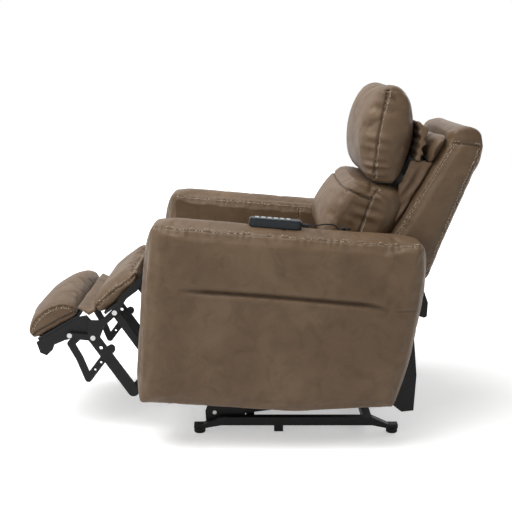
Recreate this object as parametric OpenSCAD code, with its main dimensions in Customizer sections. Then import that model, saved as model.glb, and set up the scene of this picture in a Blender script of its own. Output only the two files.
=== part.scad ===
// Powered lift recliner chair, shown part reclined with its footrest part raised.
// Millimetres. X runs across the chair, -Y is the front, +Z is up. Pairs of numbers are [y, z].

/* [Overall] */
// Clear width between the two arms
seat_w = 512; // [500:2:600]
// Width of one arm
arm_w = 152; // [120:2:180]
// Height of the arm top at its front
arm_front_h = 660; // [640:1:690]
// Height of the arm top at its back
arm_back_h = 603; // [590:1:615]
// Height of the arm's lower edge at its middle
arm_low = 101; // [95:1:106]
// Drop between the datum of the outlines and the middle of the chair's length
y_mid = 15.98; // [-40:0.01:40]

/* [Upholstery] */
// Rounding of the arm's long edges
arm_round = 14; // [8:1:20]
// Gap between a cushion and the arm beside it
side_gap = 10; // [9:0.5:14]
// Depth of the sewn crease on the arm
crease_d = 7; // [4:0.5:10]
// How far the middle of a pad stands above its edge
crown = 7; // [3:0.5:10]
// Depth of a sewn channel
channel_d = 5; // [3:0.5:7]

/* [Steel] */
// Thickness of every flat link
link_t = 5; // [4:0.5:5.5]
// Side gap between neighbouring links
link_gap = 1; // [0.5:0.1:1.5]
// Width of the long footrest link
wide_link_w = 34; // [26:1:38]
// Width of the slim links
slim_link_w = 22; // [18:1:26]
// Rivet diameter
rivet_d = 8; // [6:0.5:10]
// Diameter of the rivet heads
rivet_head_d = 15; // [12:0.5:18]
// Pivot bolt diameter of the lift and of the back
bolt_d = 12; // [10:0.5:14]
// Radial running clearance of a pivot
run_fit = 0.1; // [0.05:0.01:0.1]
// Extra radius of the holes left open where a closed linkage is cut
open_fit = 3.2; // [2.8:0.1:4]

/* [Base] */
// How far the middle of a base rail stands outside the side plate above it
rail_out = 5; // [2:1:14]
// Width of a base rail
rail_w = 26; // [20:1:30]
// Height of a base rail
rail_h = 25; // [20:1:28]
// Height of the rails' underside
rail_low = 24; // [20:1:26]
// Height of a floor foot
foot_h = 15; // [10:1:18]
// Diameter of a floor foot
foot_d = 34; // [28:1:40]

/* [Lift] */
// Width of the lift arms' plates
lift_arm_w = 32; // [26:1:34]
// Diameter of the tubes across the chair
cross_d = 25; // [20:1:30]

/* [Handset] */
// Length of the handset
handset_l = 148; // [130:1:170]
// Width of the handset
handset_w = 48; // [40:1:56]
// Thickness of the handset
handset_h = 24; // [18:1:30]
// Width of one key
key_w = 26; // [18:1:30]
// Length of one key
key_l = 11; // [8:0.5:12]
// Side clearance of a key in its window
key_fit = 0.3; // [0.2:0.05:0.5]
// Travel of a key
key_travel = 1; // [0.6:0.1:1.5]
// Diameter of the handset's lead
lead_d = 4; // [3.6:0.1:4.4]
// Number of curls in the lead
curls = 3; // [2:1:3]

/* [Hidden] */

leather = [0.40, 0.33, 0.26];
steel = [0.13, 0.13, 0.13];
pine = [0.76, 0.62, 0.42];
plastic = [0.17, 0.19, 0.21];
zinc = [0.66, 0.67, 0.68];
cloth = [0.10, 0.10, 0.10];

$fn = 48;
seat_half = seat_w / 2;
cushion_half = seat_half - side_gap;
arm_out = seat_half + arm_w;

// Planes of the flat links, each named by its inner face, stacked inwards from the side plate
pitch = link_t + link_gap;
x_side = seat_half - 11;
rail_x = x_side + rail_out;
x_calf = x_side - pitch;
x_wide = x_calf - pitch;
x_ottoman = x_wide - pitch;
x_v = x_ottoman - pitch;

// Pivots of the footrest linkage
p_seat = [-325, 470];
p_top = [-481, 288];
p_foot = [-366, 123];
p_ottoman = [-550, 295];
p_v_low = [-430, 252];
p_v_high = [-512, 302];
p_crank = p_foot + p_seat - p_top;
stay_share = 0.42;
p_stay_top = p_top + stay_share * (p_seat - p_top);
p_stay_low = p_stay_top + p_foot - p_top;
v_elbow = [-501, 158];
v_bend = [-526, 222];
v_hook = [-550, 266];

// Pivots of the lift and of the back
p_lift_base = [-124, 55];
p_lift_frame = [253, 104];
p_link_base = [-62, 85];
p_link_frame = [350, 135];
p_lift_lug = [-84, 165];
p_back = [430, 385];
p_head = [444, 762];

// Lies on the line of the arm top at a given y
function arm_top(y) = arm_front_h + (y + 282) * (arm_back_h - arm_front_h) / 745;
arm_slope = atan((arm_front_h - arm_back_h) / 745);

// Moves a piece from the outlines' datum to the middle of the chair's length
module stand() translate([0, y_mid, 0]) children();

// A flat [y, z] outline made solid from x0 to x1
module slab(x0, x1) translate([x0, 0, 0]) rotate([90, 0, 90]) linear_extrude(x1 - x0) children();

// One on each side of the chair
module both() {
    children();
    mirror([1, 0, 0]) children();
}

// A bar outline through points, with round ends and joints; its flanks lie just inside the rounds
module chain(points, w) {
    flank = w - 0.004;
    for (p = points) translate(p) circle(d = w);
    for (i = [1:len(points) - 1]) {
        d = points[i] - points[i - 1];
        translate(points[i - 1]) rotate(atan2(d[1], d[0])) translate([0, -flank / 2]) square([norm(d), flank]);
    }
}

module strip(p, q, w) chain([p, q], w);

// A bar outline with square ends, run past both points
module bar(p, q, w, past) translate(p) rotate(atan2(q[1] - p[1], q[0] - p[0]))
    translate([-past, -w / 2]) square([norm(q - p) + 2 * past, w]);

// A hole outline
module hole(p, d) translate(p) circle(d = d);

// A round pin along X
module pin(x0, x1, p, d) translate([x0, p[0], p[1]]) rotate([0, 90, 0]) cylinder(d = d, h = x1 - x0);

// A rivet from x0 to x1 with a head past each end
module rivet(x0, x1, p) {
    head_t = 0.8 * link_gap;
    pin(x0, x1, p, rivet_d);
    pin(x0 - head_t, x0, p, rivet_head_d);
    pin(x1, x1 + head_t, p, rivet_head_d);
}

// Holes that run on a rivet, that close a loop of links, and that are left open in one
running = rivet_d + 2 * run_fit;
closing = rivet_d + 1;
opened = rivet_d + 2 * open_fit;

slice = 0.2;

// A padded form: a flat outline swollen in the middle and drawn in at both sides
module padded(half, swell, points, draw = 11) {
    steps = [[0, swell], [0.45, swell * 0.8], [0.8, 0], [0.93, -0.36 * draw], [1, -draw]];
    hull() for (s = steps, side = [-1, 1])
        translate([side * half * s[0] - slice / 2, 0, 0]) rotate([90, 0, 90])
            linear_extrude(slice) offset(delta = s[1]) polygon(points);
}

// Points of a rounded corner of a closed outline, n to a corner
function corner(a, b, c, r, n) =
    let (u = (a - b) / norm(a - b), v = (c - b) / norm(c - b),
         half = acos(u * v) / 2, reach = r / tan(half), mid = b + (u + v) / norm(u + v) * r / sin(half),
         from = b + u * reach - mid, to = b + v * reach - mid,
         start = atan2(from[1], from[0]), turn = (atan2(to[1], to[0]) - start + 540) % 360 - 180)
    [for (i = [0:n - 1]) mid + r * [cos(start + turn * i / (n - 1)), sin(start + turn * i / (n - 1))]];

// An outline of [y, z, corner radius] points with its corners rounded
function rounded(list, n = 5) =
    let (m = len(list), xy = [for (p = list) [p[0], p[1]]])
    [for (i = [0:m - 1]) each corner(xy[(i + m - 1) % m], xy[i], xy[(i + 1) % m], list[i][2], n)];

// ---- Base on the floor ----

rail_top = rail_low + rail_h;
rail_front = -105;
rail_back = 347;
foot_front = -168;
foot_back = 406;
foot_pad_y = [foot_front, foot_back];
cross_y = [-30, 320];
bracket_t = 6;
x_bracket = rail_x - rail_w / 2 - bracket_t;
x_lift_arm = x_bracket - link_gap - 8;
x_front_link = x_bracket + bracket_t + link_gap;

// Rails with ends bent down to the feet
module base_rails() color(steel) stand() both() slab(rail_x - rail_w / 2, rail_x + rail_w / 2) {
    translate([rail_front, rail_low]) square([rail_back - rail_front, rail_h]);
    polygon([[rail_front + 1, rail_low], [rail_front + 1, rail_top], [foot_front + 12, foot_h + 12],
        [foot_front - 17, foot_h + 12], [foot_front - 17, foot_h], [foot_front + 16, foot_h]]);
    polygon([[rail_back - 1, rail_low], [rail_back - 1, rail_top], [foot_back - 12, foot_h + 12],
        [foot_back + 17, foot_h + 12], [foot_back + 17, foot_h], [foot_back - 16, foot_h]]);
}

// Square tubes welded between the rails
module base_cross_tubes() color(steel) stand() for (y = cross_y)
    translate([-(rail_x - rail_w / 2), y, rail_low]) cube([2 * rail_x - rail_w, rail_h, rail_h]);

// Moulded feet under the rail ends
module floor_feet() color(cloth) stand() both() for (y = foot_pad_y) translate([rail_x, y, 0]) {
    cylinder(d1 = foot_d - 4, d2 = foot_d, h = 3, $fn = 32);
    translate([0, 0, 3]) cylinder(d = foot_d, h = foot_h - 3);
}

// Blocks under the middle of the rails
module centre_blocks() color(cloth) stand() both()
    translate([rail_x - 12, 54, 5]) cube([24, 27, rail_low - 5]);

// Pivot plates welded on the rails' inner faces
module lift_brackets() color(steel) stand() both() slab(x_bracket, x_bracket + bracket_t) difference() {
    polygon([[-150, rail_low + 2], [-30, rail_low + 2], [-36, 96], [-52, 106], [-74, 106], [-146, 76], [-152, 60]]);
    hole(p_lift_base, bolt_d);
    hole(p_link_base, bolt_d);
}

// Bolts that the lift arms and the front links turn on
module lift_base_pins() color(zinc) stand() both() {
    pin(x_lift_arm, x_bracket + bracket_t, p_lift_base, bolt_d);
    pin(x_lift_arm - 6, x_lift_arm, p_lift_base, bolt_d + 8);
    pin(x_bracket, x_front_link + link_t, p_link_base, bolt_d);
    pin(x_front_link + link_t, x_front_link + link_t + 1, p_link_base, bolt_d + 8);
}

// ---- Lift ----

motor_y = 392;
screw_d = 22;
screw_y = 110;
lug_t = 10;
lug_slot = 10;

// Gearmotor on a post at the back of the base, with the tube that guides its screw
module lift_motor() color(plastic) stand() difference() {
    union() {
        translate([-18, motor_y - 30, rail_low]) cube([36, 30, p_lift_lug[1] - rail_low]);
        translate([-26, cross_y[1] + rail_h, rail_low]) cube([52, motor_y - 30 - cross_y[1] - rail_h, 10]);
        translate([-28, motor_y - 60, p_lift_lug[1] - 24]) cube([56, 62, 52]);
        translate([0, motor_y, p_lift_lug[1]]) rotate([90, 0, 0])
            cylinder(d = screw_d + 16, h = motor_y - screw_y);
    }
    translate([0, motor_y - 40, p_lift_lug[1]]) rotate([90, 0, 0])
        cylinder(d = screw_d + 2 * run_fit, h = motor_y);
}

// Screw that pushes the lug of the lift arms, with its slotted end
module lift_rod() color(zinc) stand() difference() {
    union() {
        translate([0, motor_y - 60, p_lift_lug[1]]) rotate([90, 0, 0])
            cylinder(d = screw_d, h = motor_y - 60 - p_lift_lug[0] - 50);
        translate([-lug_t / 2 - 7, p_lift_lug[0] - 14, p_lift_lug[1] - 12]) cube([lug_t + 14, 72, 30]);
    }
    translate([-lug_t / 2 - 1, p_lift_lug[0] - 20, p_lift_lug[1] - 20]) cube([lug_t + 2, 66, 50]);
    slab(-30, 30) {
        hole(p_lift_lug, bolt_d + 5);
        translate(p_lift_lug - [bolt_d / 2 + 2.5, 0]) square([bolt_d + 5, lug_slot]);
        hole(p_lift_lug + [0, lug_slot], bolt_d + 5);
    }
}

// Long arms that carry the back of the chair, joined by a tube with the motor's lug
module lift_arms() color(steel) stand() {
    tube = p_lift_base + 0.2 * (p_lift_frame - p_lift_base);
    both() slab(x_lift_arm, x_lift_arm + 8) difference() {
        strip(p_lift_base, p_lift_frame, lift_arm_w);
        hole(p_lift_base, bolt_d + 2 * run_fit);
        hole(p_lift_frame, bolt_d + 2 * run_fit);
    }
    pin(-x_lift_arm, x_lift_arm, tube, cross_d);
    slab(-lug_t / 2, lug_t / 2) strip(tube, p_lift_lug, 22);
    pin(-lug_t / 2 - 11, lug_t / 2 + 11, p_lift_lug, bolt_d);
}

// Upper links that tip the chair; their frame end is left open
module lift_front_links() color(steel) stand() both() slab(x_front_link, x_front_link + link_t) difference() {
    strip(p_link_base, p_link_frame, lift_arm_w - 6);
    hole(p_link_base, bolt_d + 2 * run_fit);
    hole(p_link_frame, bolt_d + 2 * open_fit);
}

// Bolts on the chair frame that the lift carries it by
module lift_frame_pins() color(zinc) stand() both() {
    pin(x_lift_plate, x_lift_arm + 8, p_lift_frame, bolt_d);
    pin(x_lift_arm + 8, x_lift_arm + 11, p_lift_frame, bolt_d + 8);
    pin(x_front_link - 3, x_side + link_t, p_link_frame, bolt_d);
    pin(x_front_link - 4, x_front_link - 0.5, p_link_frame, bolt_d + 10);
}

// ---- Chair frame ----

x_lift_plate = x_lift_arm - link_gap - link_t;
seat_rail = [[-288, 380, 60], [60, 330, 50], [320, 330, 45]];
rail_t = 25;
footrest_rail_z = 360;
recline_rail_z = 290;
recline_x = 90;
slide_d = 20;
board_x = seat_half + 8;
board_t = 20;
boss_d = 30;
boss_at = [[-240, 400], [-40, 330], [300, 300], [350, 370]];
cavity_fit = 0.5;

// Steel plates that carry the seat, the links and the back
module side_plates() color(steel) stand() both() slab(x_side, x_side + link_t) difference() {
    polygon([[-342, 462], [-336, 486], [-312, 490], [-60, 440], [250, 392], [405, 416], [446, 410], [458, 372],
        [476, 176], [470, 66], [434, 62], [372, 112], [338, 112], [240, 210], [-120, 262], [-232, 282], [-336, 452]]);
    hole(p_seat, rivet_d);
    hole(p_crank, rivet_d);
    hole(p_back, bolt_d);
    hole(p_link_frame, bolt_d);
}

// Plates that hang from the rear seat rail to the lift arms
module lift_plates() color(steel) stand() both() slab(x_lift_plate, x_lift_plate + link_t) difference() {
    polygon([[234, 98], [244, 85], [262, 85], [274, 96], [344, 330], [306, 330]]);
    hole(p_lift_frame, bolt_d);
}

// Cross rails between the side plates
module seat_rails() color(pine) stand() for (r = seat_rail)
    translate([-x_side, r[0], r[1]]) cube([2 * x_side, rail_t, r[2]]);

// Board outline inside an arm
module arm_board_outline() polygon([[-286, 150], [-272, 590], [400, 545], [440, 470], [380, 150]]);

// Plywood sides inside the arms, on bosses that meet the side plates
module arm_frames() color(pine) stand() both() {
    slab(board_x, board_x + board_t) arm_board_outline();
    for (b = boss_at) pin(x_side + link_t, board_x, b, boss_d);
}

// Outline of an arm from the side
arm_outline = rounded([
    [-296, arm_top(-296), 26], [-322, 440, 300], [-341, 160, 12], [-337, arm_low + 32, 10], [107, arm_low, 600],
    [396, arm_low + 17, 10], [436, 245, 200], [464, 404, 200], [478, 511, 90], [472, arm_top(472), 20]
], 4);

// One upholstered arm, hollow for its board
module arm_form() difference() {
    hull() for (s = [[0, -9], [arm_round, 0], [arm_w - arm_round, 0], [arm_w - 4, -5], [arm_w, -arm_round]])
        slab(seat_half + s[0] - slice / 2, seat_half + s[0] + slice / 2) offset(delta = s[1]) polygon(arm_outline);
    slab(board_x - cavity_fit, board_x + board_t + cavity_fit) {
        offset(delta = cavity_fit) arm_board_outline();
        translate([-286 - cavity_fit, 60]) square([666 + 2 * cavity_fit, 120]);
    }
    for (b = boss_at) pin(seat_half - 1, board_x, b, boss_d + 2 * cavity_fit);
    slab(arm_out - crease_d, arm_out + 1)
        polygon([[-217, 467], [-120, 466], [60, 454], [220, 437], [378, 409], [220, 431], [60, 447], [-120, 460]]);
}

module arm_left() color(leather) stand() arm_form();
module arm_right() color(leather) stand() mirror([1, 0, 0]) arm_form();

// A wavy flat wire of n half waves along +Y, from 0 to len
module wavy_wire(len, n, w = 4) linear_extrude(w)
    chain([for (i = [0:n]) [i % 2 == 0 ? -20 : 20, w / 2 + i * (len - w) / n]], w);

// Wavy springs from the front seat rail to the rear one
module seat_springs() color(zinc) stand() {
    from = [seat_rail[0][0] + rail_t, 432];
    to = [seat_rail[2][0], 372];
    for (x = [-180:90:180]) translate([x, from[0] + 0.6, from[1]])
        rotate([atan2(to[1] - from[1], to[0] - from[0]), 0, 0]) wavy_wire(norm(to - from) - 1.6, 14);
}

// Seat cushion, between the side plates
module seat_cushion() color(leather) stand() difference() {
    padded(x_side - 2, crown * 0.6, rounded([[-270, 430, 6], [-276, 508, 25], [-246, 536, 40], [-100, 530, 200],
        [60, 510, 200], [150, 484, 120], [262, 458, 20], [268, 360, 6]], 4));
    slab(-x_side, x_side) polygon([[-300, 440.3], [-262.5, 440.3], [-262.5, 436.4], [300, 378.4], [300, 0], [-300, 0]]);
}

// A block of a gearmotor with its motor can
module gearmotor(can) {
    cube([56, 40, 56]);
    translate([28, 0, 28]) translate([can * 28, 20, 0]) rotate([0, can * 90, 0]) cylinder(d = 38, h = 70);
}

// Footrest motor ahead of the middle rail, with its slide tube
module footrest_motor() color(plastic) stand() {
    translate([-28, seat_rail[1][0] - 40, footrest_rail_z - 28]) gearmotor(1);
    translate([0, seat_rail[1][0] - 40, footrest_rail_z]) rotate([90, 0, 0]) cylinder(d = slide_d, h = 285);
}

lever_l = footrest_rail_z - p_crank[1];
lever_x = 14.8;
lever_t = 6.4;
slot_half = 6;

// A carriage on a slide tube: the lever reaches between its cheeks from below, or from above where up is -1
module carriage(up, low, high) difference() {
    translate([-24, -18, up > 0 ? -28 : -18]) cube([50, 36, 46]);
    rotate([90, 0, 0]) translate([0, 0, -40]) cylinder(d = slide_d + 2 * run_fit, h = 80);
    translate([lever_x - 0.8, -20, up > 0 ? -30 : -12]) cube([lever_t + 1.6, 40, 42]);
    translate([lever_x - 2.8, -slot_half, low]) cube([20, 2 * slot_half, high - low]);
}

module footrest_carriage() color(plastic) stand()
    translate([0, p_crank[0], footrest_rail_z]) carriage(1, -21.5, 5.5);

// Recline motor behind the middle rail, with its slide tube
module recline_motor() color(plastic) stand() {
    translate([recline_x - 28, seat_rail[1][0] + rail_t, recline_rail_z - 8]) gearmotor(-1);
    translate([recline_x, seat_rail[1][0] + rail_t + 40, recline_rail_z]) rotate([-90, 0, 0])
        cylinder(d = slide_d, h = 345);
}

module recline_carriage() color(plastic) stand()
    translate([recline_x, p_back[0], recline_rail_z]) carriage(-1, -5.5, 15);

box_in = 45;

// Control box under the rear rail, with the mains inlet in its back
module control_box() color(plastic) stand() difference() {
    x0 = -x_side + box_in;
    translate([x0, 300, 262]) cube([110, 62, seat_rail[2][1] - 262]);
    translate([x0 + 40, 350, 280]) cube([28, 13, 20]);
    translate([x0 + 9, 302, 264]) cube([92, 46, seat_rail[2][1] - 266]);
}

// Fixed pins of the side plates
module frame_pivots() color(zinc) stand() both() {
    pin(x_calf, x_side + link_t, p_seat, rivet_d);
    pin(x_side + link_t, x_side + link_t + 2, p_seat, rivet_head_d);
    pin(x_calf - 0.8 * link_gap, x_calf, p_seat, rivet_head_d);
    pin(x_ottoman, x_side + link_t, p_crank, rivet_d);
    pin(x_side + link_t, x_side + link_t + 2, p_crank, rivet_head_d);
    pin(x_wide, x_side + link_t, p_back, bolt_d);
    pin(x_side + link_t, x_side + link_t + 3, p_back, bolt_d + 8);
    pin(x_wide - 3, x_wide, p_back, bolt_d + 8);
}

// ---- Footrest ----

// Hinged brackets under the calf pad
calf_arm = [p_seat, [-388, 412], p_stay_top + [0, 2], [-456, 328]];
module calf_brackets() color(steel) stand() both() slab(x_calf, x_calf + link_t) difference() {
    union() {
        chain(calf_arm, 20);
        strip(p_top, p_ottoman, 18);
        polygon([[-497, 286], [-494, 342], [-440, 342], [-462, 284]]);
    }
    hole(p_seat, running);
    hole(p_top, rivet_d);
    hole(p_ottoman, rivet_d);
    hole(p_stay_top, rivet_d);
}

// A board of thickness t under the line from p to q, short of them by a and b
module board_between(p, q, a, b, half, t) slab(-half, half) {
    d = (q - p) / norm(q - p);
    down = [d[1], -d[0]];
    from = p + a * d + board_gap * down;
    to = q - b * d + board_gap * down;
    polygon([from, to, to + t * down, from + t * down]);
}

board_gap = 0.3;
calf_under = [[-452, 362], [-340, 446]];
ottoman_under = [[-658, 277], [-526, 354]];

module calf_board() color(pine) stand() board_between(calf_under[0], calf_under[1], 5, 15, x_calf, 8);

// The half plane to the left of the line from p to q, moved d further from it
module left_of(p, q, d = 0) {
    u = (q - p) / norm(q - p);
    n = [-u[1], u[0]];
    polygon([p - 300 * u + d * n, q + 300 * u + d * n, q + 300 * u + 300 * n, p - 300 * u + 300 * n]);
}

// A direction in the plane of the outlines, a degrees up from the back
function ray(a) = [cos(a), sin(a)];

// The pads open like a V from the ottoman's pivot, so that the ottoman can tip towards the calf pad
calf_face = 56.5;
ottoman_face = 66;

module calf_pad() color(leather) stand() difference() {
    padded(cushion_half, crown * 0.5, rounded([[-489, 390, 12], [-433, 441, 60], [-368, 489, 60], [-340, 503, 8],
        [-347, 446, 6], [-452, 352, 4], [-478, 366, 8]], 4), 9);
    slab(-300, 300) polygon([calf_under[0] - [40, 30], calf_under[0], calf_under[1], calf_under[1] + [60, 45],
        [-200, 300], [-500, 300]]);
    slab(-300, 300) left_of(p_ottoman, p_ottoman + ray(calf_face));
    both() slab(x_calf - 1.5, x_calf + link_t + 0.6) chain(calf_arm, 23);
}

// Rivets staked in the calf brackets
module calf_rivets() color(zinc) stand() both() {
    rivet(x_wide, x_calf + link_t, p_top);
    rivet(x_wide, x_calf + link_t, p_stay_top);
    rivet(x_ottoman, x_calf + link_t, p_ottoman);
    pin(x_wide - 0.4, x_calf - 0.4, p_ottoman, rivet_head_d);
}

// Long links from the calf brackets down to the cranks, with the V links' studs
module wide_links() color(steel) stand() both() {
    slab(x_wide, x_wide + link_t) difference() {
        strip(p_top, p_foot, wide_link_w);
        hole(p_top, running);
        hole(p_foot, closing);
        hole([-459, 256], 10);
    }
    slab(x_wide, x_wide + link_t) difference() {
        strip([-446, 240], p_v_low, 26);
        strip(p_top, p_foot, wide_link_w - 0.01);
    }
    pin(x_v - 1, x_wide, p_v_low, rivet_d);
    pin(x_ottoman - 0.6, x_wide, p_v_low, rivet_head_d);
}

module stay_bars() color(steel) stand() both() slab(x_wide, x_wide + link_t) difference() {
    strip(p_stay_top, p_stay_low, slim_link_w);
    hole(p_stay_top, running);
    hole(p_stay_low, closing);
}

// Cranks on their torque tube, with the lever that the carriage pushes
module footrest_cranks() color(steel) stand() {
    both() slab(x_ottoman, x_ottoman + link_t) difference() {
        strip(p_crank, p_foot, 28);
        hole(p_crank, running);
        hole(p_foot, rivet_d);
        hole(p_stay_low, rivet_d);
    }
    difference() {
        pin(-x_ottoman, x_ottoman, p_crank, cross_d);
        both() pin(x_ottoman - 10, x_ottoman, p_crank, running);
    }
    slab(lever_x, lever_x + lever_t) difference() {
        strip(p_crank, p_crank + [0, lever_l], 20);
        hole(p_crank, cross_d - 2);
    }
    pin(lever_x - 2.3, lever_x + lever_t + 2.3, p_crank + [0, lever_l], rivet_d);
}

module crank_rivets() color(zinc) stand() both() {
    rivet(x_ottoman, x_wide + link_t, p_foot);
    rivet(x_ottoman, x_wide + link_t, p_stay_low);
}

// Cranked links from the wide links up to the ottoman rails; their upper end is left open
module v_links() color(steel) stand() both() slab(x_v, x_v + link_t) difference() {
    chain([p_v_low, v_elbow, v_bend, v_hook, p_v_high], slim_link_w);
    hole(p_v_low, running);
    hole(p_v_high, opened);
    hole([-462, 208], 7);
    hole([-480, 185], 7);
}

// Rails under the ottoman pad, with the V links' studs
module ottoman_rails() color(steel) stand() both() {
    slab(x_ottoman, x_ottoman + link_t) difference() {
        polygon([[-651, 272], [-520, 350], [-500, 354], [-486, 338], [-494, 300], [-506, 286], [-524, 288],
            [-566, 278], [-598, 264], [-604, 248], [-622, 231], [-641, 240]]);
        hole(p_ottoman, running);
    }
    pin(x_v, x_ottoman, p_v_high, rivet_d);
    pin(x_v - 1.6, x_v - 0.4, p_v_high, opened + 5);
    pin(x_v - 0.4, x_v, p_v_high, rivet_d);
}

module ottoman_board() color(pine) stand()
    board_between(ottoman_under[0], ottoman_under[1], 11.6, 6.9, x_ottoman, 10);

module ottoman_pad() color(leather) stand() difference() {
    padded(cushion_half, crown * 0.5, rounded([[-662, 272, 8], [-680, 300, 16], [-668, 338, 30], [-640, 366, 40],
        [-606, 390, 50], [-572, 399, 40], [-538, 394, 16], [-520, 372, 8], [-524, 345, 4]], 4), 6);
    slab(-300, 300) polygon([ottoman_under[0] - [60, 35], ottoman_under[0], ottoman_under[1], ottoman_under[1] + [60, -20],
        [-400, 200], [-800, 200]]);
    slab(-300, 300) left_of(p_ottoman + ray(ottoman_face), p_ottoman);
}

// Folded cloth strips that close the gaps between the seat, the calf pad and the ottoman pad
module leg_gussets() color(leather) stand() {
    low = calf_face + 0.14;
    high = ottoman_face - 0.14;
    slab(-cushion_half + 12, cushion_half - 12) {
        polygon([for (f = [[96, low + 0.05], [116, low], [116, low + 1.3], [99, low + 1.8],
            [99, high - 1.8], [112, high - 1.3], [112, high], [96, high - 0.05]])
            p_ottoman + f[0] * ray(f[1])]);
        polygon([[-331, 500], [-324, 488], [-314, 501], [-304, 484], [-296, 497], [-281.6, 492], [-281.2, 495.5],
            [-297, 502.5], [-305, 490], [-314, 507], [-323.5, 494], [-331, 505]]);
    }
}

// ---- Back ----

// The front line of the back's side wings, and points behind it
wing_low = [392, 595];
wing_high = [552, 871];
wing_dir = (wing_high - wing_low) / norm(wing_high - wing_low);
wing_in = [wing_dir[1], -wing_dir[0]];
function behind(z, depth) = wing_low + wing_dir * (z - wing_low[1]) / wing_dir[1] + wing_in * depth;
back_half = seat_half - 6;
wall = 10;
edge_t = 4;
frame_d = 45;
frame_front = 12;
upright_t = 24;
rail_z = [[515, 60], [650, 40], [772, 40], [836, 30]];
shell_top = 872;

back_outline = rounded([[552, 871, 6], [556, 900, 18], [604, 914, 26], [641, 896, 18], [649, 858, 20],
    [641, 812, 60], [505, 478, 20], [497, 457, 8], [404, 462, 20], [345, 514, 14]], 4);

// Upholstered shell: two wings, a rear panel and a top
module back_shell() color(leather) stand() difference() {
    union() {
        slab(-back_half + edge_t, back_half - edge_t) polygon(back_outline);
        both() difference() {
            hull() {
                slab(back_half - 2 * edge_t, back_half - edge_t) offset(delta = -0.3) polygon(back_outline);
                slab(back_half - slice, back_half) offset(delta = -edge_t) polygon(back_outline);
            }
            slab(back_half - 3 * edge_t, back_half + 1) polygon([wing_high + [0.3, 60], wing_high + [0.3, -0.2],
                wing_high + 0.3 * wing_in - 412 * wing_dir, [300, 514], [300, 930]]);
        }
    }
    slab(-back_half + wall, back_half - wall) polygon([[626, 821], [628, shell_top], [548, shell_top], [300, 560],
        [320, 440], [480, 440], [489, 484]]);
}

// Uprights and rails of the back, inside the shell
module back_frame() color(pine) stand() {
    x_out = x_wide;
    low = behind(520, frame_front + frame_d / 2);
    high = behind(870, frame_front + frame_d / 2);
    both() slab(x_out - upright_t, x_out) difference() {
        strip(low, high, frame_d);
        translate([500, shell_top - 0.5]) square(200);
    }
    for (r = rail_z) slab(-(x_out - upright_t), x_out - upright_t) polygon([behind(r[0], frame_front),
        behind(r[0] + r[1], frame_front), behind(r[0] + r[1], frame_front + 22), behind(r[0], frame_front + 22)]);
}

// Wavy springs between the back's rails
module back_springs() color(zinc) stand() for (x = [-140, 0, 140], i = [0, 1]) {
    from = behind(rail_z[i][0] + rail_z[i][1], frame_front + 6);
    to = behind(rail_z[i + 1][0], frame_front + 6);
    translate([x, from[0], from[1]]) rotate([atan2(to[1] - from[1], to[0] - from[0]), 0, 0])
        translate([0, 0.5, 0]) wavy_wire(norm(to - from) - 1, 4);
}

// Plates that carry the back on its pivots, with the tube and lever of the recline motor
module back_brackets() color(steel) stand() {
    both() slab(x_wide, x_wide + link_t) difference() {
        polygon([[410, 376], [418, 366], [440, 366], [494, 348], [503, 352], [505, 394], [484, 452], [476, 560],
            [400, 560], [398, 520], [416, 440], [408, 394]]);
        hole(p_back, bolt_d + 2 * run_fit);
    }
    tube = p_back + [44, 6];
    pin(-x_wide, x_wide, tube, cross_d);
    slab(recline_x + lever_x, recline_x + lever_x + lever_t) {
        chain([tube, [p_back[0] + 22, recline_rail_z + 40], [p_back[0], recline_rail_z]], 20);
    }
    pin(recline_x + lever_x - 2.3, recline_x + lever_x + lever_t + 2.3, [p_back[0], recline_rail_z], rivet_d);
}

// The line on which the pillow meets the lumbar cushion, and the gap between them
pillow_rest = [[296, 750], [404, 734]];
pillow_gap = 0.6;

// Lower back cushion with its sewn seams, reaching back to the frame
module lumbar_cushion() color(leather) stand() difference() {
    union() {
        padded(cushion_half, crown, rounded([[300, 775, 20], [262, 745, 34], [222, 694, 120], [186, 624, 60],
            [172, 585, 30], [196, 560, 30], [330, 534, 14], [388, 598, 60], [410, 668, 60], [408, 729, 12]], 4));
        slab(-200, 200) polygon([[345, 546], behind(560, frame_front - 0.3), behind(706, frame_front - 0.3),
            [400, 716], [330, 560]]);
    }
    slab(-300, 300) left_of(pillow_rest[0], pillow_rest[1], -pillow_gap / 2);
    both() slab(cushion_half - 9, cushion_half + 10) bar([372, 742], [310, 602], 3, 0);
    slab(-300, 300) translate([222, 748]) rotate(-29) square([channel_d + 12, 3]);
}

// Padded roll across the top of the back, ahead of the wings
module back_top_pad() color(leather) stand()
    padded(cushion_half, crown * 0.1, rounded([[492, 840, 16], [514, 876, 22], [550.6, 890, 9], [550.6, 871.8, 12],
        [505.6, 794, 8], [490, 800, 10]], 4));

// ---- Headrest ----

pillow_outline = rounded([[404, 1042, 42], [346, 1016, 50], [312, 950, 140], [301, 868, 90], [308, 772, 40],
    [326, 738, 20], [404, 730, 26], [438, 836, 120], [453, 902, 60], [444, 985, 60]], 5);
head_board = [[402, 790], [372, 970]];
hinge_x = 180;
hinge_w = 22;
hinge_end = head_board[0] + [14, 14];

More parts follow.
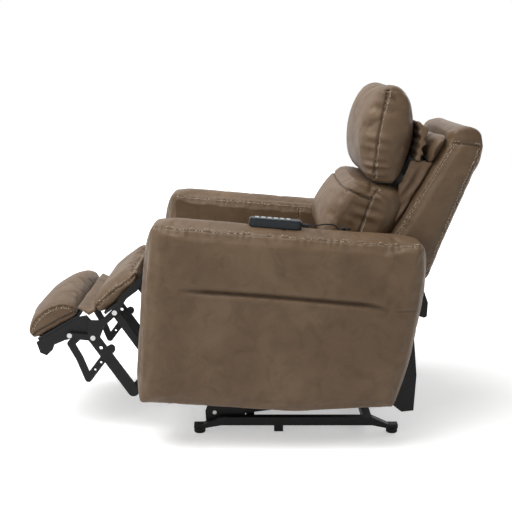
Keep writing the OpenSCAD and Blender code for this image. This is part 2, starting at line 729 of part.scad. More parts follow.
// Pillow with the pocket of its board
module headrest_pillow() color(leather) stand() difference() {
    padded(cushion_half, crown * 0.65, pillow_outline);
    slab(-300, 300) left_of(pillow_rest[1], pillow_rest[0], -pillow_gap / 2);
    slab(-204 - cavity_fit, 204 + cavity_fit) bar(head_board[0], head_board[1], 13 + 2 * cavity_fit, 6.5 + cavity_fit);
    both() slab(hinge_x - cavity_fit, hinge_x + link_t + cavity_fit)
        bar(p_head, hinge_end, hinge_w + 2 * cavity_fit, hinge_w / 2 + cavity_fit);
    both() slab(cushion_half - 8, cushion_half + 10) {
        p = [[373, 1046], [370, 1000], [356, 930], [343, 830], [338, 738]];
        polygon([for (i = [0:4]) p[i] - [1.5, 0], for (i = [4:-1:0]) p[i] + [1.5, 0]]);
    }
}

// Board inside the pillow
module headrest_board() color(pine) stand() {
    slab(-204, 204) strip(head_board[0], head_board[1], 13);
}

// Arms from the board to the headrest's pivots
module headrest_hinges() color(steel) stand() both() slab(hinge_x, hinge_x + link_t) difference() {
    strip(p_head, hinge_end, hinge_w);
    hole(p_head, running);
    strip(head_board[0], head_board[1], 13.4);
}

// Lugs on the back's rail that carry the headrest by friction pivots
module headrest_lugs() color(steel) stand() both() {
    x0 = hinge_x + link_t + link_gap;
    slab(x0, x0 + link_t) difference() {
        polygon([behind(774, frame_front), behind(806, frame_front), p_head + [-4, 12], p_head + [-11, 6],
            p_head + [-11, -8], p_head + [4, -12]]);
        hole(p_head, rivet_d);
    }
    pin(hinge_x - 1, x0 + link_t, p_head, rivet_d);
    pin(hinge_x - 2, hinge_x - 0.2, p_head, rivet_head_d - 1);
}

// Gathered cover cloth between the pillow and the back
module headrest_gather() color(leather) stand() slab(-cushion_half + 16, cushion_half - 16)
    polygon([[461, 912], [468, 922], [478, 905], [486, 912], [492, 894], [488, 880], [481, 872], [490.4, 856], [474, 846],
        [482, 830], [468, 818], [474, 808], [452, 812], [462, 826], [458, 838], [468, 850], [463, 864], [473, 876],
        [462, 888], [470, 898]]);

// ---- Handset and its lead ----

hand_y = 53;
hand_x = seat_half + 79;
hand_gap = 0.3;
hand_wall = 2.5;
tail_l = 19;
key_row = [for (i = [0:5]) -52 + 17.5 * i];
key_top = key_travel + 0.6;

// Places a piece on the sloping arm top
module on_arm() stand() translate([hand_x, hand_y, arm_top(hand_y) + hand_gap]) rotate([-arm_slope, 0, 0]) children();

// A plate with round ends, in plan
module plan(w, l, h) linear_extrude(h) {
    square([w, l - w * 0.7], center = true);
    square([w * 0.3, l], center = true);
    for (i = [-1, 1], j = [-1, 1]) translate([i * w * 0.15, j * (l / 2 - w * 0.35)]) circle(d = w * 0.7);
}

module handset() color(plastic) on_arm() difference() {
    union() {
        translate([0, 0, 3]) plan(handset_w, handset_l, handset_h - 6);
        plan(handset_w - 7, handset_l - 7, handset_h);
        translate([0, handset_l / 2 - 2, handset_h / 2]) rotate([-90, 0, 0]) cylinder(d = lead_d + 5, h = tail_l + 2);
    }
    translate([0, 0, hand_wall]) plan(handset_w - 2 * hand_wall - 5, handset_l - 2 * hand_wall - 8,
        handset_h - 2 * hand_wall);
    for (y = key_row) translate([-key_w / 2 - key_fit, y - key_l / 2 - key_fit, handset_h / 2])
        cube([key_w + 2 * key_fit, key_l + 2 * key_fit, handset_h]);
}

// A key with the flange that keeps it in the case
module key(i) color(zinc) on_arm() translate([0, key_row[i], 0]) {
    translate([-key_w / 2, -key_l / 2, handset_h - hand_wall - 1]) cube([key_w, key_l, hand_wall + 1 + key_top]);
    translate([-key_w / 2 - 2, -key_l / 2 - 1.5, handset_h - hand_wall - 2.7]) cube([key_w + 4, key_l + 3, 2.4]);
}

module key_1() key(0);
module key_2() key(1);
module key_3() key(2);
module key_4() key(3);
module key_5() key(4);
module key_6() key(5);

// Route of the lead: from the handset's tail in an arch over the arm top, into the curls, and down to the gland
lead_route = [[335, 146.7, 639.5], [335, 158, 638.7], [332, 176, 640], [326, 194, 641], [320, 210, 639.5],
    [316, 222, 635.5], [316, 229, 629], [316, 234, 624.2], [314.5, 237, 622.8]];
curl_from = [314.5, 237, 622.8];
curl_to = [302, 258, 621.2];
drop_route = [[302, 258, 621.2], [298, 264, 621], [289, 268, 621.2], [277, 268, 621], [267, 267, 620.4], [258, 265, 616],
    [252.5, 263, 606], [251, 262, 592], [251, 262, 578], [251, 262, 566]];
curl_r = 3.6;

// A smooth curve through hand-chosen points, k steps a span
function bend(a, b, c, d, t) = 0.5 * ((2 * b) + (c - a) * t + (2 * a - 5 * b + 4 * c - d) * t * t
    + (3 * b - a - 3 * c + d) * t * t * t);
function smooth(r, k) = let (n = len(r)) [each [for (i = [0:n - 2], j = [0:k - 1])
    bend(r[max(i - 1, 0)], r[i], r[i + 1], r[min(i + 2, n - 1)], j / k)], r[n - 1]];

function unit(v) = v / norm(v);
function heading(p, i) = unit(p[min(i + 1, len(p) - 1)] - p[max(i - 1, 0)]);

// Side vectors carried along a route without twist
function carried(p, i, side) = let (t = heading(p, i)) unit(side - t * (side * t));
function sides_along(p) = let (t0 = heading(p, 0), s0 = unit(cross(t0, abs(t0[2]) > 0.8 ? [1, 0, 0] : [0, 0, 1])))
    [for (i = 0, s = s0; i < len(p); i = i + 1, s = i < len(p) ? carried(p, i, s) : s) s];

// A round tube along points
module tube(p, d, n) {
    s = sides_along(p);
    m = len(p);
    v = [for (i = [0:m - 1]) let (t = heading(p, i), u = cross(t, s[i]))
        for (k = [0:n - 1]) p[i] + d / 2 * (cos(360 * k / n) * s[i] + sin(360 * k / n) * u)];
    polyhedron(v, [[for (k = [0:n - 1]) k],
        for (i = [0:m - 2], k = [0:n - 1]) let (a = i * n + k, b = i * n + (k + 1) % n) each [[a, a + n, b], [b, a + n, b + n]],
        [for (k = [n - 1:-1:0]) (m - 1) * n + k]]);
}

// Points of the curls: straight ends, with whole turns that rise from the line between them
curl_steps = 8 * curls;
curl_axis = curl_to - curl_from;
curl_side = unit(cross(curl_axis, [0, 0, 1]));
curl_points = [
    curl_from,
    for (i = [0:curl_steps]) let (t = i / curl_steps)
        curl_from + curl_axis * (0.17 + 0.66 * t) + curl_r * (sin(45 * i) * curl_side + [0, 0, 1 - cos(45 * i)]),
    curl_to
];
curl_gap = min([for (i = [0:len(curl_points) - 1], j = [0:len(curl_points) - 1])
    if (j - i >= 5) norm(curl_points[i] - curl_points[j])]) - lead_d;
echo(curl_gap_mm = curl_gap);

module handset_lead() color(cloth) stand() tube(smooth(lead_route, 3), lead_d, 8);
module handset_curls() color(cloth) stand() tube(curl_points, lead_d, 6);
module handset_drop() color(cloth) stand() tube(smooth(drop_route, 3), lead_d, 8);

// Gland beside the arm's inner face, where the lead goes in
module cord_gland() color(plastic) stand() difference() {
    end = drop_route[len(drop_route) - 1];
    translate([seat_half - 9.4, end[1] - 7, end[2] - 10]) cube([9, 14, 16]);
    translate(end) cylinder(d = lead_d + 2 * run_fit, h = 10);
}

base_rails();
base_cross_tubes();
floor_feet();
centre_blocks();
lift_brackets();
lift_base_pins();
lift_motor();
lift_rod();
lift_arms();
lift_front_links();
lift_frame_pins();
side_plates();
seat_rails();
arm_frames();
arm_left();
arm_right();
seat_springs();
seat_cushion();
footrest_motor();
footrest_carriage();
recline_motor();
recline_carriage();
control_box();
lift_plates();
frame_pivots();
cord_gland();
calf_brackets();
calf_board();
calf_pad();
calf_rivets();
leg_gussets();
wide_links();
stay_bars();
footrest_cranks();
crank_rivets();
v_links();
ottoman_rails();
ottoman_board();
ottoman_pad();
back_shell();
back_frame();
back_springs();
back_brackets();
lumbar_cushion();
back_top_pad();
headrest_pillow();
headrest_board();
headrest_hinges();
headrest_lugs();
headrest_gather();
handset();
handset_lead();
handset_curls();
handset_drop();
key_1();
key_2();
key_3();
key_4();
key_5();
key_6();
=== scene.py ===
"""Lift recliner chair: upholstery, cord and finishes laid over the chair's own frame."""
import math

import bmesh
import bpy
import numpy as np
from bpy.props import FloatProperty, FloatVectorProperty, PointerProperty
from mathutils import Matrix, Vector
from mathutils.bvhtree import BVHTree


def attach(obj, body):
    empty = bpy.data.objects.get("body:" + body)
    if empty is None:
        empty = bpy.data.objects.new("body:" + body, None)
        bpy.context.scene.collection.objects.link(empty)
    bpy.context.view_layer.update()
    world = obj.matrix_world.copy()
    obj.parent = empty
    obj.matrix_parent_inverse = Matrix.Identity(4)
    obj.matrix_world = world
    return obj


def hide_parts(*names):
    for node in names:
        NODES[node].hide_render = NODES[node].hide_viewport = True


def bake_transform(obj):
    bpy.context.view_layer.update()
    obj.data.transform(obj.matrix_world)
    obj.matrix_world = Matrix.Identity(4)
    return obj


bl_info = {
    "name": "Lift recliner chair",
    "version": (1, 0, 0),
    "blender": (4, 5, 0),
    "location": "View3D > Sidebar > Recliner",
    "description": "Builds the upholstery, cord and finishes of a lift recliner chair",
    "category": "Object",
}

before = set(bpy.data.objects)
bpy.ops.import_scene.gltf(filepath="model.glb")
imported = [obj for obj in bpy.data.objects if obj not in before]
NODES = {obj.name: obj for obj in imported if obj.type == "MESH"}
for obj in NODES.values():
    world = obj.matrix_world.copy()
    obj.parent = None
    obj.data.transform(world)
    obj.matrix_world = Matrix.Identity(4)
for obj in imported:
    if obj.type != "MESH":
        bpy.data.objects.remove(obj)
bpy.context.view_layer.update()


# ---- Places ----

DATUM_Y = 0.01598
ARM_IN, ARM_OUT = 0.256, 0.408
# Half widths that the covers keep to: footrest, top roll and pillow; seat and back; lumbar cushion.
PAD_HALF, WING_HALF, LUMBAR_HALF = 0.2525, 0.2535, 0.2455
SIDE_X = 246


def at(x, y, z):
    """A point from the chair's outline numbers, in millimetres from the outlines' datum."""
    return Vector((x / 1000, y / 1000 + DATUM_Y, z / 1000))


def line(x, *pairs):
    """Points at one x from pairs of y and z."""
    return [at(x, y, z) for y, z in pairs]


def across(y, z):
    """Points from side to side of a cushion."""
    return [at(x, y, z) for x in range(-225, 226, 15)]


def other_side(points):
    """The mirror image of a line across the chair's middle."""
    return [Vector((-p.x, p.y, p.z)) for p in points]


def arm_top(y):
    """Height of an arm's top, which falls towards the back."""
    return 660 - (y + 282) * 57 / 745


# ---- Sizes and colours ----

def length_setting(name, description, default, low, high):
    return FloatProperty(name=name, description=description, default=default, min=low, max=high, unit="LENGTH")


def colour_setting(name, description, default):
    return FloatVectorProperty(name=name, description=description, default=default, subtype="COLOR", size=3,
                               min=0, max=1)


class ChairSizes(bpy.types.PropertyGroup):
    voxel: length_setting("Cloth grid", "Spacing of the cloth's grid before it is subdivided", 0.008, 0.004, 0.02)
    arm_swell: length_setting("Arm swell", "How far an arm's panels may swell", 0.008, 0, 0.03)
    pad_swell: length_setting("Pad swell", "How far a cushion may swell", 0.022, 0, 0.03)
    stitch_length: length_setting("Stitch length", "Length of one stitch", 0.0052, 0.002, 0.01)
    stitch_pitch: length_setting("Stitch pitch", "From one stitch to the next", 0.0072, 0.003, 0.02)
    stitch_width: length_setting("Thread width", "Width of the sewing thread", 0.0016, 0.0005, 0.004)
    cord_width: length_setting("Cord width", "Diameter of the handset's cord", 0.004, 0.002, 0.008)


class ChairColours(bpy.types.PropertyGroup):
    hide: colour_setting("Leather", "Main colour of the leather", (0.088, 0.052, 0.026))
    hide_light: colour_setting("Leather, light clouds", "Lighter clouds in the leather", (0.128, 0.082, 0.045))
    hide_deep: colour_setting("Leather, deep", "Darker patches in the leather", (0.054, 0.031, 0.015))
    thread: colour_setting("Thread", "Contrast sewing thread", (0.47, 0.385, 0.285))
    steel: colour_setting("Painted steel", "Paint of the links and the base", (0.006, 0.006, 0.006))


def sizes():
    return bpy.context.scene.chair_sizes


def colours():
    return bpy.context.scene.chair_colours


# ---- Shader groups ----

def new_group(name, inputs, outputs):
    group = bpy.data.node_groups.new(name, "ShaderNodeTree")
    for label, kind, value in inputs:
        socket = group.interface.new_socket(label, in_out="INPUT", socket_type="NodeSocket" + kind)
        if value is not None:
            socket.default_value = value
    for label, kind in outputs:
        group.interface.new_socket(label, in_out="OUTPUT", socket_type="NodeSocket" + kind)
    return group, group.nodes.new("NodeGroupInput"), group.nodes.new("NodeGroupOutput")


def add(tree, kind, links=(), **settings):
    """A node with its settings; links are (its input, a socket or a value)."""
    node = tree.nodes.new("ShaderNode" + kind)
    for key, value in settings.items():
        setattr(node, key, value)
    for name, source in links:
        socket = node.inputs[name]
        if isinstance(source, bpy.types.NodeSocket):
            tree.links.new(source, socket)
        else:
            socket.default_value = source
    return node


def blend_colour(tree, share, a, b):
    """b over a by share."""
    node = add(tree, "Mix", data_type="RGBA")
    for index, source in ((0, share), (6, a), (7, b)):
        if isinstance(source, bpy.types.NodeSocket):
            tree.links.new(source, node.inputs[index])
        else:
            node.inputs[index].default_value = source
    return node.outputs[2]


def spread(tree, value, low, high, to_low=0.0, to_high=1.0):
    """value stretched from low..high to to_low..to_high, and kept inside."""
    return add(tree, "MapRange", (("Value", value), ("From Min", low), ("From Max", high), ("To Min", to_low),
               ("To Max", to_high)), clamp=True).outputs[0]


def combine(tree, operation, a, b):
    """The result of a math node."""
    return add(tree, "Math", ((0, a), (1, b)), operation=operation).outputs[0]


def leather_group():
    """Cloudy pulled-up leather: clouds, pores, fine creases, stretch beside the seams, and painted shade darkening the
    grooves of seams and creases.
    """
    group, given, out = new_group(
        "Pull-up leather",
        (("Vector", "Vector", None), ("Base", "Color", None), ("Light", "Color", None), ("Deep", "Color", None),
         ("Cloud size", "Float", 5.0), ("Pore size", "Float", 620.0), ("Seam", "Float", 0.0), ("Worn", "Float", 0.0)),
        (("Color", "Color"), ("Roughness", "Float"), ("Height", "Float")))
    g, place = group, given.outputs["Vector"]
    cloud = add(g, "TexNoise", (("Vector", place), ("Scale", given.outputs["Cloud size"]), ("Detail", 5.0),
                ("Roughness", 0.62), ("Distortion", 0.6))).outputs[0]
    patch = add(g, "TexNoise", (("Vector", place), ("Scale", 17.0), ("Detail", 4.0), ("Roughness", 0.6),
                ("Distortion", 0.9))).outputs[0]
    speck = add(g, "TexNoise", (("Vector", place), ("Scale", 95.0), ("Detail", 3.0), ("Roughness", 0.7))).outputs[0]
    colour = blend_colour(g, spread(g, cloud, 0.42, 0.66, 0, 0.72), given.outputs["Base"], given.outputs["Light"])
    colour = blend_colour(g, spread(g, patch, 0.46, 0.72, 0, 0.55), colour, given.outputs["Deep"])
    colour = blend_colour(g, spread(g, speck, 0.5, 0.75, 0, 0.18), colour, given.outputs["Light"])
    colour = blend_colour(g, spread(g, given.outputs["Worn"], 0, 1, 0, 0.6), colour, given.outputs["Light"])
    # Painted shade: the seam value darkens the colour towards near-black in the grooves of seams and creases.
    seam_shade = spread(g, given.outputs["Seam"], 0, 1, 0, 0.78)
    colour = blend_colour(g, seam_shade, colour, (0.018, 0.011, 0.007, 1))
    g.links.new(colour, out.inputs["Color"])
    rough = combine(g, "ADD", spread(g, patch, 0.3, 0.7, 0.44, 0.56), spread(g, given.outputs["Seam"], 0, 1, 0, 0.2))
    g.links.new(rough, out.inputs["Roughness"])
    pores = add(g, "TexVoronoi", (("Vector", place), ("Scale", given.outputs["Pore size"])),
                feature="DISTANCE_TO_EDGE").outputs[0]
    creases = add(g, "TexNoise", (("Vector", place), ("Scale", 130.0), ("Detail", 6.0), ("Roughness", 0.75),
                  ("Distortion", 1.4))).outputs[0]
    height = combine(g, "ADD", spread(g, pores, 0, 0.12, 0, 0.5), creases)
    g.links.new(height, out.inputs["Height"])
    return group


def scuff_group():
    """Fine dust and rubbed spots on paint, metal and plastic."""
    group, given, out = new_group(
        "Scuffs", (("Vector", "Vector", None), ("Clean", "Color", None), ("Rubbed", "Color", None),
                   ("Size", "Float", 60.0), ("Amount", "Float", 0.25), ("Roughness", "Float", 0.4)),
        (("Color", "Color"), ("Roughness", "Float"), ("Height", "Float")))
    g, place = group, given.outputs["Vector"]
    noise = add(g, "TexNoise", (("Vector", place), ("Scale", given.outputs["Size"]), ("Detail", 6.0),
                ("Roughness", 0.7))).outputs[0]
    fine = add(g, "TexNoise", (("Vector", place), ("Scale", 700.0), ("Detail", 2.0))).outputs[0]
    spots = spread(g, noise, 0.52, 0.72)
    share = combine(g, "MULTIPLY", spots, given.outputs["Amount"])
    g.links.new(blend_colour(g, share, given.outputs["Clean"], given.outputs["Rubbed"]), out.inputs["Color"])
    rough = combine(g, "ADD", given.outputs["Roughness"], spread(g, noise, 0.3, 0.7, -0.08, 0.12))
    g.links.new(rough, out.inputs["Roughness"])
    g.links.new(fine, out.inputs["Height"])
    return group


SHADER_GROUPS = {}


def shader_group(name):
    if name not in SHADER_GROUPS:
        SHADER_GROUPS[name] = {"leather": leather_group, "scuff": scuff_group}[name]()
    return SHADER_GROUPS[name]


def material(name):
    """A new material: (material, its tree, its shader)."""
    made = bpy.data.materials.new(name)
    made.use_nodes = True
    return made, made.node_tree, made.node_tree.nodes["Principled BSDF"]


def raise_surface(tree, shader, height, strength, distance):
    bump = add(tree, "Bump", (("Height", height), ("Strength", strength), ("Distance", distance)))
    tree.links.new(bump.outputs[0], shader.inputs["Normal"])


def coated(name, kind, values, bump, depth):
    """A material whose colour, roughness and height come from a shader group: (material, its tree, its shader,
    the group's node)."""
    made, tree, shader = material(name)
    group = tree.nodes.new("ShaderNodeGroup")
    group.node_tree = shader_group(kind)
    tree.links.new(add(tree, "TexCoord").outputs["Object"], group.inputs["Vector"])
    for socket, value in values:
        group.inputs[socket].default_value = value
    tree.links.new(group.outputs["Color"], shader.inputs["Base Color"])
    tree.links.new(group.outputs["Roughness"], shader.inputs["Roughness"])
    raise_surface(tree, shader, group.outputs["Height"], bump, depth)
    return made, tree, shader, group


def leather(name, cloud, lift):
    """Leather whose colours are the chair's, lifted or lowered a little."""
    base, light, deep = [tuple(min(1, v * lift) for v in c) + (1,)
                         for c in (colours().hide, colours().hide_light, colours().hide_deep)]
    values = (("Base", base), ("Light", light), ("Deep", deep), ("Cloud size", cloud))
    made, tree, shader, group = coated(name, "leather", values, 0.35, 0.0006)
    for label, socket in (("seam", "Seam"), ("worn", "Worn")):
        read = add(tree, "Attribute", attribute_name=label)
        tree.links.new(read.outputs["Fac"], group.inputs[socket])
    shader.inputs["Specular IOR Level"].default_value = 0.3
    shader.inputs["Sheen Weight"].default_value = 0.03
    shader.inputs["Sheen Roughness"].default_value = 0.5
    return made


def scuffed(name, clean, rubbed, rough, amount, size, metal, bump):
    """Paint, metal or plastic with rubbed spots; without a clean colour it is the chair's paint."""
    values = (("Clean", tuple(clean or colours().steel) + (1,)), ("Rubbed", rubbed + (1,)), ("Size", size),
              ("Amount", amount), ("Roughness", rough))
    made, _, shader, _ = coated(name, "scuff", values, bump, 0.0002)
    shader.inputs["Metallic"].default_value = metal
    shader.inputs["Specular IOR Level"].default_value = 0.5 if metal else 0.2
    return made


def veneer(name):
    """Plywood: long grain with darker bands."""
    made, tree, shader = material(name)
    place = add(tree, "TexCoord").outputs["Object"]
    turned = add(tree, "Mapping", (("Vector", place), ("Scale", (1.0, 14.0, 14.0))))
    grain = add(tree, "TexNoise", (("Vector", turned.outputs[0]), ("Scale", 6.0), ("Detail", 7.0), ("Roughness", 0.65),
                ("Distortion", 0.4))).outputs[0]
    colour = blend_colour(tree, spread(tree, grain, 0.35, 0.7), (0.50, 0.33, 0.17, 1), (0.30, 0.17, 0.08, 1))
    tree.links.new(colour, shader.inputs["Base Color"])
    shader.inputs["Roughness"].default_value = 0.62
    raise_surface(tree, shader, grain, 0.2, 0.0005)
    return made


def twisted_thread(name):
    """Two-toned twisted sewing thread."""
    made, tree, shader = material(name)
    place = add(tree, "TexCoord").outputs["Object"]
    strands = add(tree, "TexNoise", (("Vector", place), ("Scale", 1500.0), ("Detail", 2.0))).outputs[0]
    tone = add(tree, "TexNoise", (("Vector", place), ("Scale", 30.0), ("Detail", 2.0))).outputs[0]
    pale = tuple(colours().thread) + (1,)
    dull = tuple(0.62 * v for v in colours().thread) + (1,)
    tree.links.new(blend_colour(tree, spread(tree, tone, 0.35, 0.7), pale, dull), shader.inputs["Base Color"])
    shader.inputs["Roughness"].default_value = 0.65
    raise_surface(tree, shader, strands, 0.4, 0.0003)
    return made


# How each finish is made, and its settings. Leather: size of its clouds, lift of its colours. Scuffed: clean colour,
# rubbed colour, roughness, amount of rubbing, scale of the spots, metal, bump.
FINISHES = {
    "leather": (leather, "Leather of the arms", 5.0, 1.0),
    "pad": (leather, "Leather of the pads", 7.0, 1.02),
    "shell": (leather, "Leather of the back", 6.0, 0.98),
    "cloth": (leather, "Gathered leather", 8.0, 1.06),
    "thread": (twisted_thread, "Sewing thread"),
    "wood": (veneer, "Plywood"),
    "steel": (scuffed, "Black painted steel", None, (0.022, 0.021, 0.019), 0.5, 0.3, 45, 0.0, 0.15),
    "zinc": (scuffed, "Zinc plated steel", (0.42, 0.42, 0.41), (0.25, 0.245, 0.23), 0.34, 0.5, 80, 1.0, 0.1),
    "plastic": (scuffed, "Black moulded plastic", (0.018, 0.02, 0.022), (0.05, 0.052, 0.055), 0.5, 0.3, 90, 0, 0.3),
    "case": (scuffed, "Slate handset case", (0.013, 0.016, 0.019), (0.036, 0.042, 0.048), 0.42, 0.35, 110, 0, 0.3),
    "key": (scuffed, "Silver keys", (0.24, 0.26, 0.27), (0.16, 0.17, 0.18), 0.34, 0.4, 150, 0.4, 0.1),
    "rubber": (scuffed, "Foot rubber", (0.012, 0.012, 0.012), (0.045, 0.043, 0.04), 0.72, 0.4, 70, 0, 0.4),
    "cord": (scuffed, "Cord sheath", (0.009, 0.009, 0.010), (0.03, 0.03, 0.03), 0.45, 0.3, 200, 0, 0.2),
}
MATERIALS = {}


def finish_of(name):
    """A material of the chair by its short name, made once."""
    if name not in MATERIALS:
        make, *settings = FINISHES[name]
        MATERIALS[name] = make(*settings)
    return MATERIALS[name]


# ---- Mesh helpers ----

ROUTE_STEP = 0.002
CLOTH_FRAMES = 20


def to_mesh(bm, name):
    """A new mesh from bm, which is freed."""
    mesh = bpy.data.meshes.new(name)
    bm.to_mesh(mesh)
    bm.free()
    return mesh


def new_piece(name, mesh, finish, body):
    """A visible piece of upholstery that rides on a body."""
    piece = bpy.data.objects.new(name, mesh)
    bpy.context.scene.collection.objects.link(piece)
    mesh.materials.clear()
    mesh.materials.append(finish_of(finish))
    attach(piece, body)
    return piece


def bake_modifiers(obj):
    """Applies every modifier of obj to its mesh."""
    bpy.context.view_layer.update()
    graph = bpy.context.evaluated_depsgraph_get()
    made = bpy.data.meshes.new_from_object(obj.evaluated_get(graph), depsgraph=graph)
    obj.modifiers.clear()
    old, obj.data = obj.data, made
    bpy.data.meshes.remove(old)


def coords(mesh):
    flat = np.empty(len(mesh.vertices) * 3)
    mesh.vertices.foreach_get("co", flat)
    return flat.reshape(-1, 3)


def set_coords(mesh, values):
    mesh.vertices.foreach_set("co", np.ascontiguousarray(values, dtype=np.float32).ravel())
    mesh.update()


def normals(mesh):
    flat = np.empty(len(mesh.vertices) * 3, dtype=np.float32)
    mesh.vertex_normals.foreach_get("vector", flat)
    return flat.reshape(-1, 3).astype(float)


def outer_form(node, name):
    """The outer form of a node's solid, without its pockets, as a new mesh."""
    bm = bmesh.new()
    for vertex in NODES[node].data.vertices:
        bm.verts.new(vertex.co)
    bmesh.ops.remove_doubles(bm, verts=bm.verts, dist=0.0003)
    result = bmesh.ops.convex_hull(bm, input=bm.verts)
    loose = [v for v in result["geom_interior"] if isinstance(v, bmesh.types.BMVert)]
    loose += [v for v in result["geom_unused"] if isinstance(v, bmesh.types.BMVert)]
    bmesh.ops.delete(bm, geom=list(set(loose)), context="VERTS")
    bmesh.ops.recalc_face_normals(bm, faces=bm.faces)
    return to_mesh(bm, name)


def whole_form(node, name):
    """A clean copy of a node's solid."""
    bm = bmesh.new()
    bm.from_mesh(NODES[node].data)
    bmesh.ops.remove_doubles(bm, verts=bm.verts, dist=0.0001)
    bmesh.ops.recalc_face_normals(bm, faces=bm.faces)
    return to_mesh(bm, name)


def even_grid(obj, voxel):
    """Remeshes obj on an even grid and eases the steps."""
    grid = obj.modifiers.new("Grid", "REMESH")
    grid.mode, grid.voxel_size = "VOXEL", voxel
    ease = obj.modifiers.new("Ease", "SMOOTH")
    ease.factor, ease.iterations = 0.5, 4
    bake_modifiers(obj)


def swell(obj, cap, shrink, pressure=4.0):
    """Shrinks obj a little and blows it up like a filled cover; no point goes further than cap."""
    start = coords(obj.data) - normals(obj.data) * shrink
    set_coords(obj.data, start)
    cover = obj.modifiers.new("Cover", "CLOTH")
    cloth = cover.settings
    cloth.quality, cloth.mass, cloth.air_damping = 3, 0.3, 6.0
    cloth.tension_stiffness = cloth.compression_stiffness = 12.0
    cloth.shear_stiffness, cloth.bending_stiffness = 5.0, 0.8
    cloth.use_pressure, cloth.uniform_pressure_force = True, pressure
    cloth.effector_weights.gravity = 0.0
    scene = bpy.context.scene
    scene.frame_start, scene.frame_end = 1, CLOTH_FRAMES
    for number in range(1, CLOTH_FRAMES + 1):
        scene.frame_set(number)
    graph = bpy.context.evaluated_depsgraph_get()
    blown = coords(obj.evaluated_get(graph).data)
    scene.frame_set(1)
    obj.modifiers.clear()
    move = blown - start
    far = np.linalg.norm(move, axis=1, keepdims=True)
    move *= np.minimum(1.0, cap / np.maximum(far, 1e-9))
    set_coords(obj.data, start + move)
    finer = obj.modifiers.new("Finer", "SUBSURF")
    finer.levels = finer.render_levels = 1
    bake_modifiers(obj)


def attribute(mesh, name):
    found = mesh.attributes.get(name)
    return found if found else mesh.attributes.new(name, "FLOAT", "POINT")


def raise_attribute(mesh, name, values):
    """The larger of an attribute's old and new values."""
    held = attribute(mesh, name)
    old = np.empty(len(mesh.vertices), dtype=np.float32)
    held.data.foreach_get("value", old)
    held.data.foreach_set("value", np.maximum(old, values).astype(np.float32))


def dense(points, step=ROUTE_STEP):
    """Points every step along a smooth line through points."""
    p = np.array([tuple(q) for q in points], dtype=float)
    ends = np.vstack([2 * p[0] - p[1], p, 2 * p[-1] - p[-2]])
    rows = []
    for i in range(len(p) - 1):
        a, b, c, d = ends[i:i + 4]
        for t in np.linspace(0, 1, 24, endpoint=False):
            rows.append(0.5 * (2 * b + (c - a) * t + (2 * a - 5 * b + 4 * c - d) * t * t
                               + (3 * b - a - 3 * c + d) * t ** 3))
    rows.append(p[-1])
    rows = np.array(rows)
    run = np.concatenate([[0], np.cumsum(np.linalg.norm(np.diff(rows, axis=0), axis=1))])
    wanted = np.arange(0, run[-1], step)
    return np.stack([np.interp(wanted, run, rows[:, k]) for k in range(3)], axis=1)


def on_surface(obj, route):
    """Route moved to the nearest points of obj: (points, normals)."""
    tree = BVHTree.FromPolygons([v.co for v in obj.data.vertices], [tuple(p.vertices) for p in obj.data.polygons])
    found = [tree.find_nearest(Vector(q)) for q in route]
    return np.array([tuple(f[0]) for f in found]), np.array([tuple(f[1]) for f in found])


def nearest(points, route, reach=0.09, batch=4000):
    """For each point within reach: (distance to route, number of the nearest route point)."""
    best = np.full(len(points), 1e9)
    where = np.zeros(len(points), dtype=int)
    low, high = route.min(axis=0) - reach, route.max(axis=0) + reach
    near = np.flatnonzero(((points > low) & (points < high)).all(axis=1))
    for start in range(0, len(near), batch):
        part = near[start:start + batch]
        gap = np.linalg.norm(points[part][:, None] - route[None], axis=2)
        where[part] = gap.argmin(axis=1)
        best[part] = gap.min(axis=1)
    return best, where


def seam(obj, points, width=0.005, depth=0.003, pucker=0.0, pitch=0.022, shade=0.8, taper=0.0, both_sides=0.012):
    """Sinks a sewn line into obj and gathers the cover beside it; returns the line on the surface."""
    route, _ = on_surface(obj, dense(points))
    where = coords(obj.data)
    facing = normals(obj.data)
    gap, number = nearest(where, route)
    share = number / max(1, len(route) - 1)
    fade = np.ones(len(where))
    if taper:
        fade = np.clip(np.minimum(share, 1 - share) / taper, 0, 1) ** 0.7
    drop = -depth * np.exp(-(gap / width) ** 2) * fade
    if pucker:
        run = number * ROUTE_STEP
        wave = np.sin(2 * math.pi * run / pitch + 3 * np.sin(run / 0.037)) * (0.6 + 0.4 * np.sin(run / 0.013 + 1.3))
        drop += pucker * wave * np.exp(-((gap - both_sides * 0.5) / both_sides) ** 2) * fade
    set_coords(obj.data, where + facing * drop[:, None])
    # Painted shade: the seam value darkens the leather along the sunk line, where its groove lies in shade.
    raise_attribute(obj.data, "seam", shade * np.exp(-(gap / (0.5 * width)) ** 2) * fade)
    raise_attribute(obj.data, "worn", 0.35 * np.exp(-((gap - 1.6 * width) / (0.7 * width)) ** 2) * fade)
    return on_surface(obj, dense(points))


def fold(obj, points, width, height, taper=0.5, shade=0.0):
    """Raises, or with a negative height sinks, a soft wrinkle along a line."""
    route, _ = on_surface(obj, dense(points, 0.003))
    where = coords(obj.data)
    facing = normals(obj.data)
    gap, number = nearest(where, route)
    share = number / max(1, len(route) - 1)
    fade = np.clip(np.minimum(share, 1 - share) / taper, 0, 1) ** 0.8
    set_coords(obj.data, where + facing * (height * np.exp(-(gap / width) ** 2) * fade)[:, None])
    # Painted shade: with shade, the seam value darkens the leather along the wrinkle's groove.
    if shade:
        raise_attribute(obj.data, "seam", shade * np.exp(-(gap / (0.6 * width)) ** 2) * fade)


def smooth_faces(mesh):
    mesh.polygons.foreach_set("use_smooth", [True] * len(mesh.polygons))


STITCH = {}


def stitch_form():
    """One rounded stitch along +X, two units long."""
    if "form" not in STITCH:
        bm = bmesh.new()
        bmesh.ops.create_uvsphere(bm, u_segments=6, v_segments=5, radius=1.0,
                                  matrix=Matrix.Rotation(math.pi / 2, 4, "Y"))
        STITCH["form"] = to_mesh(bm, "stitch")
    return STITCH["form"]


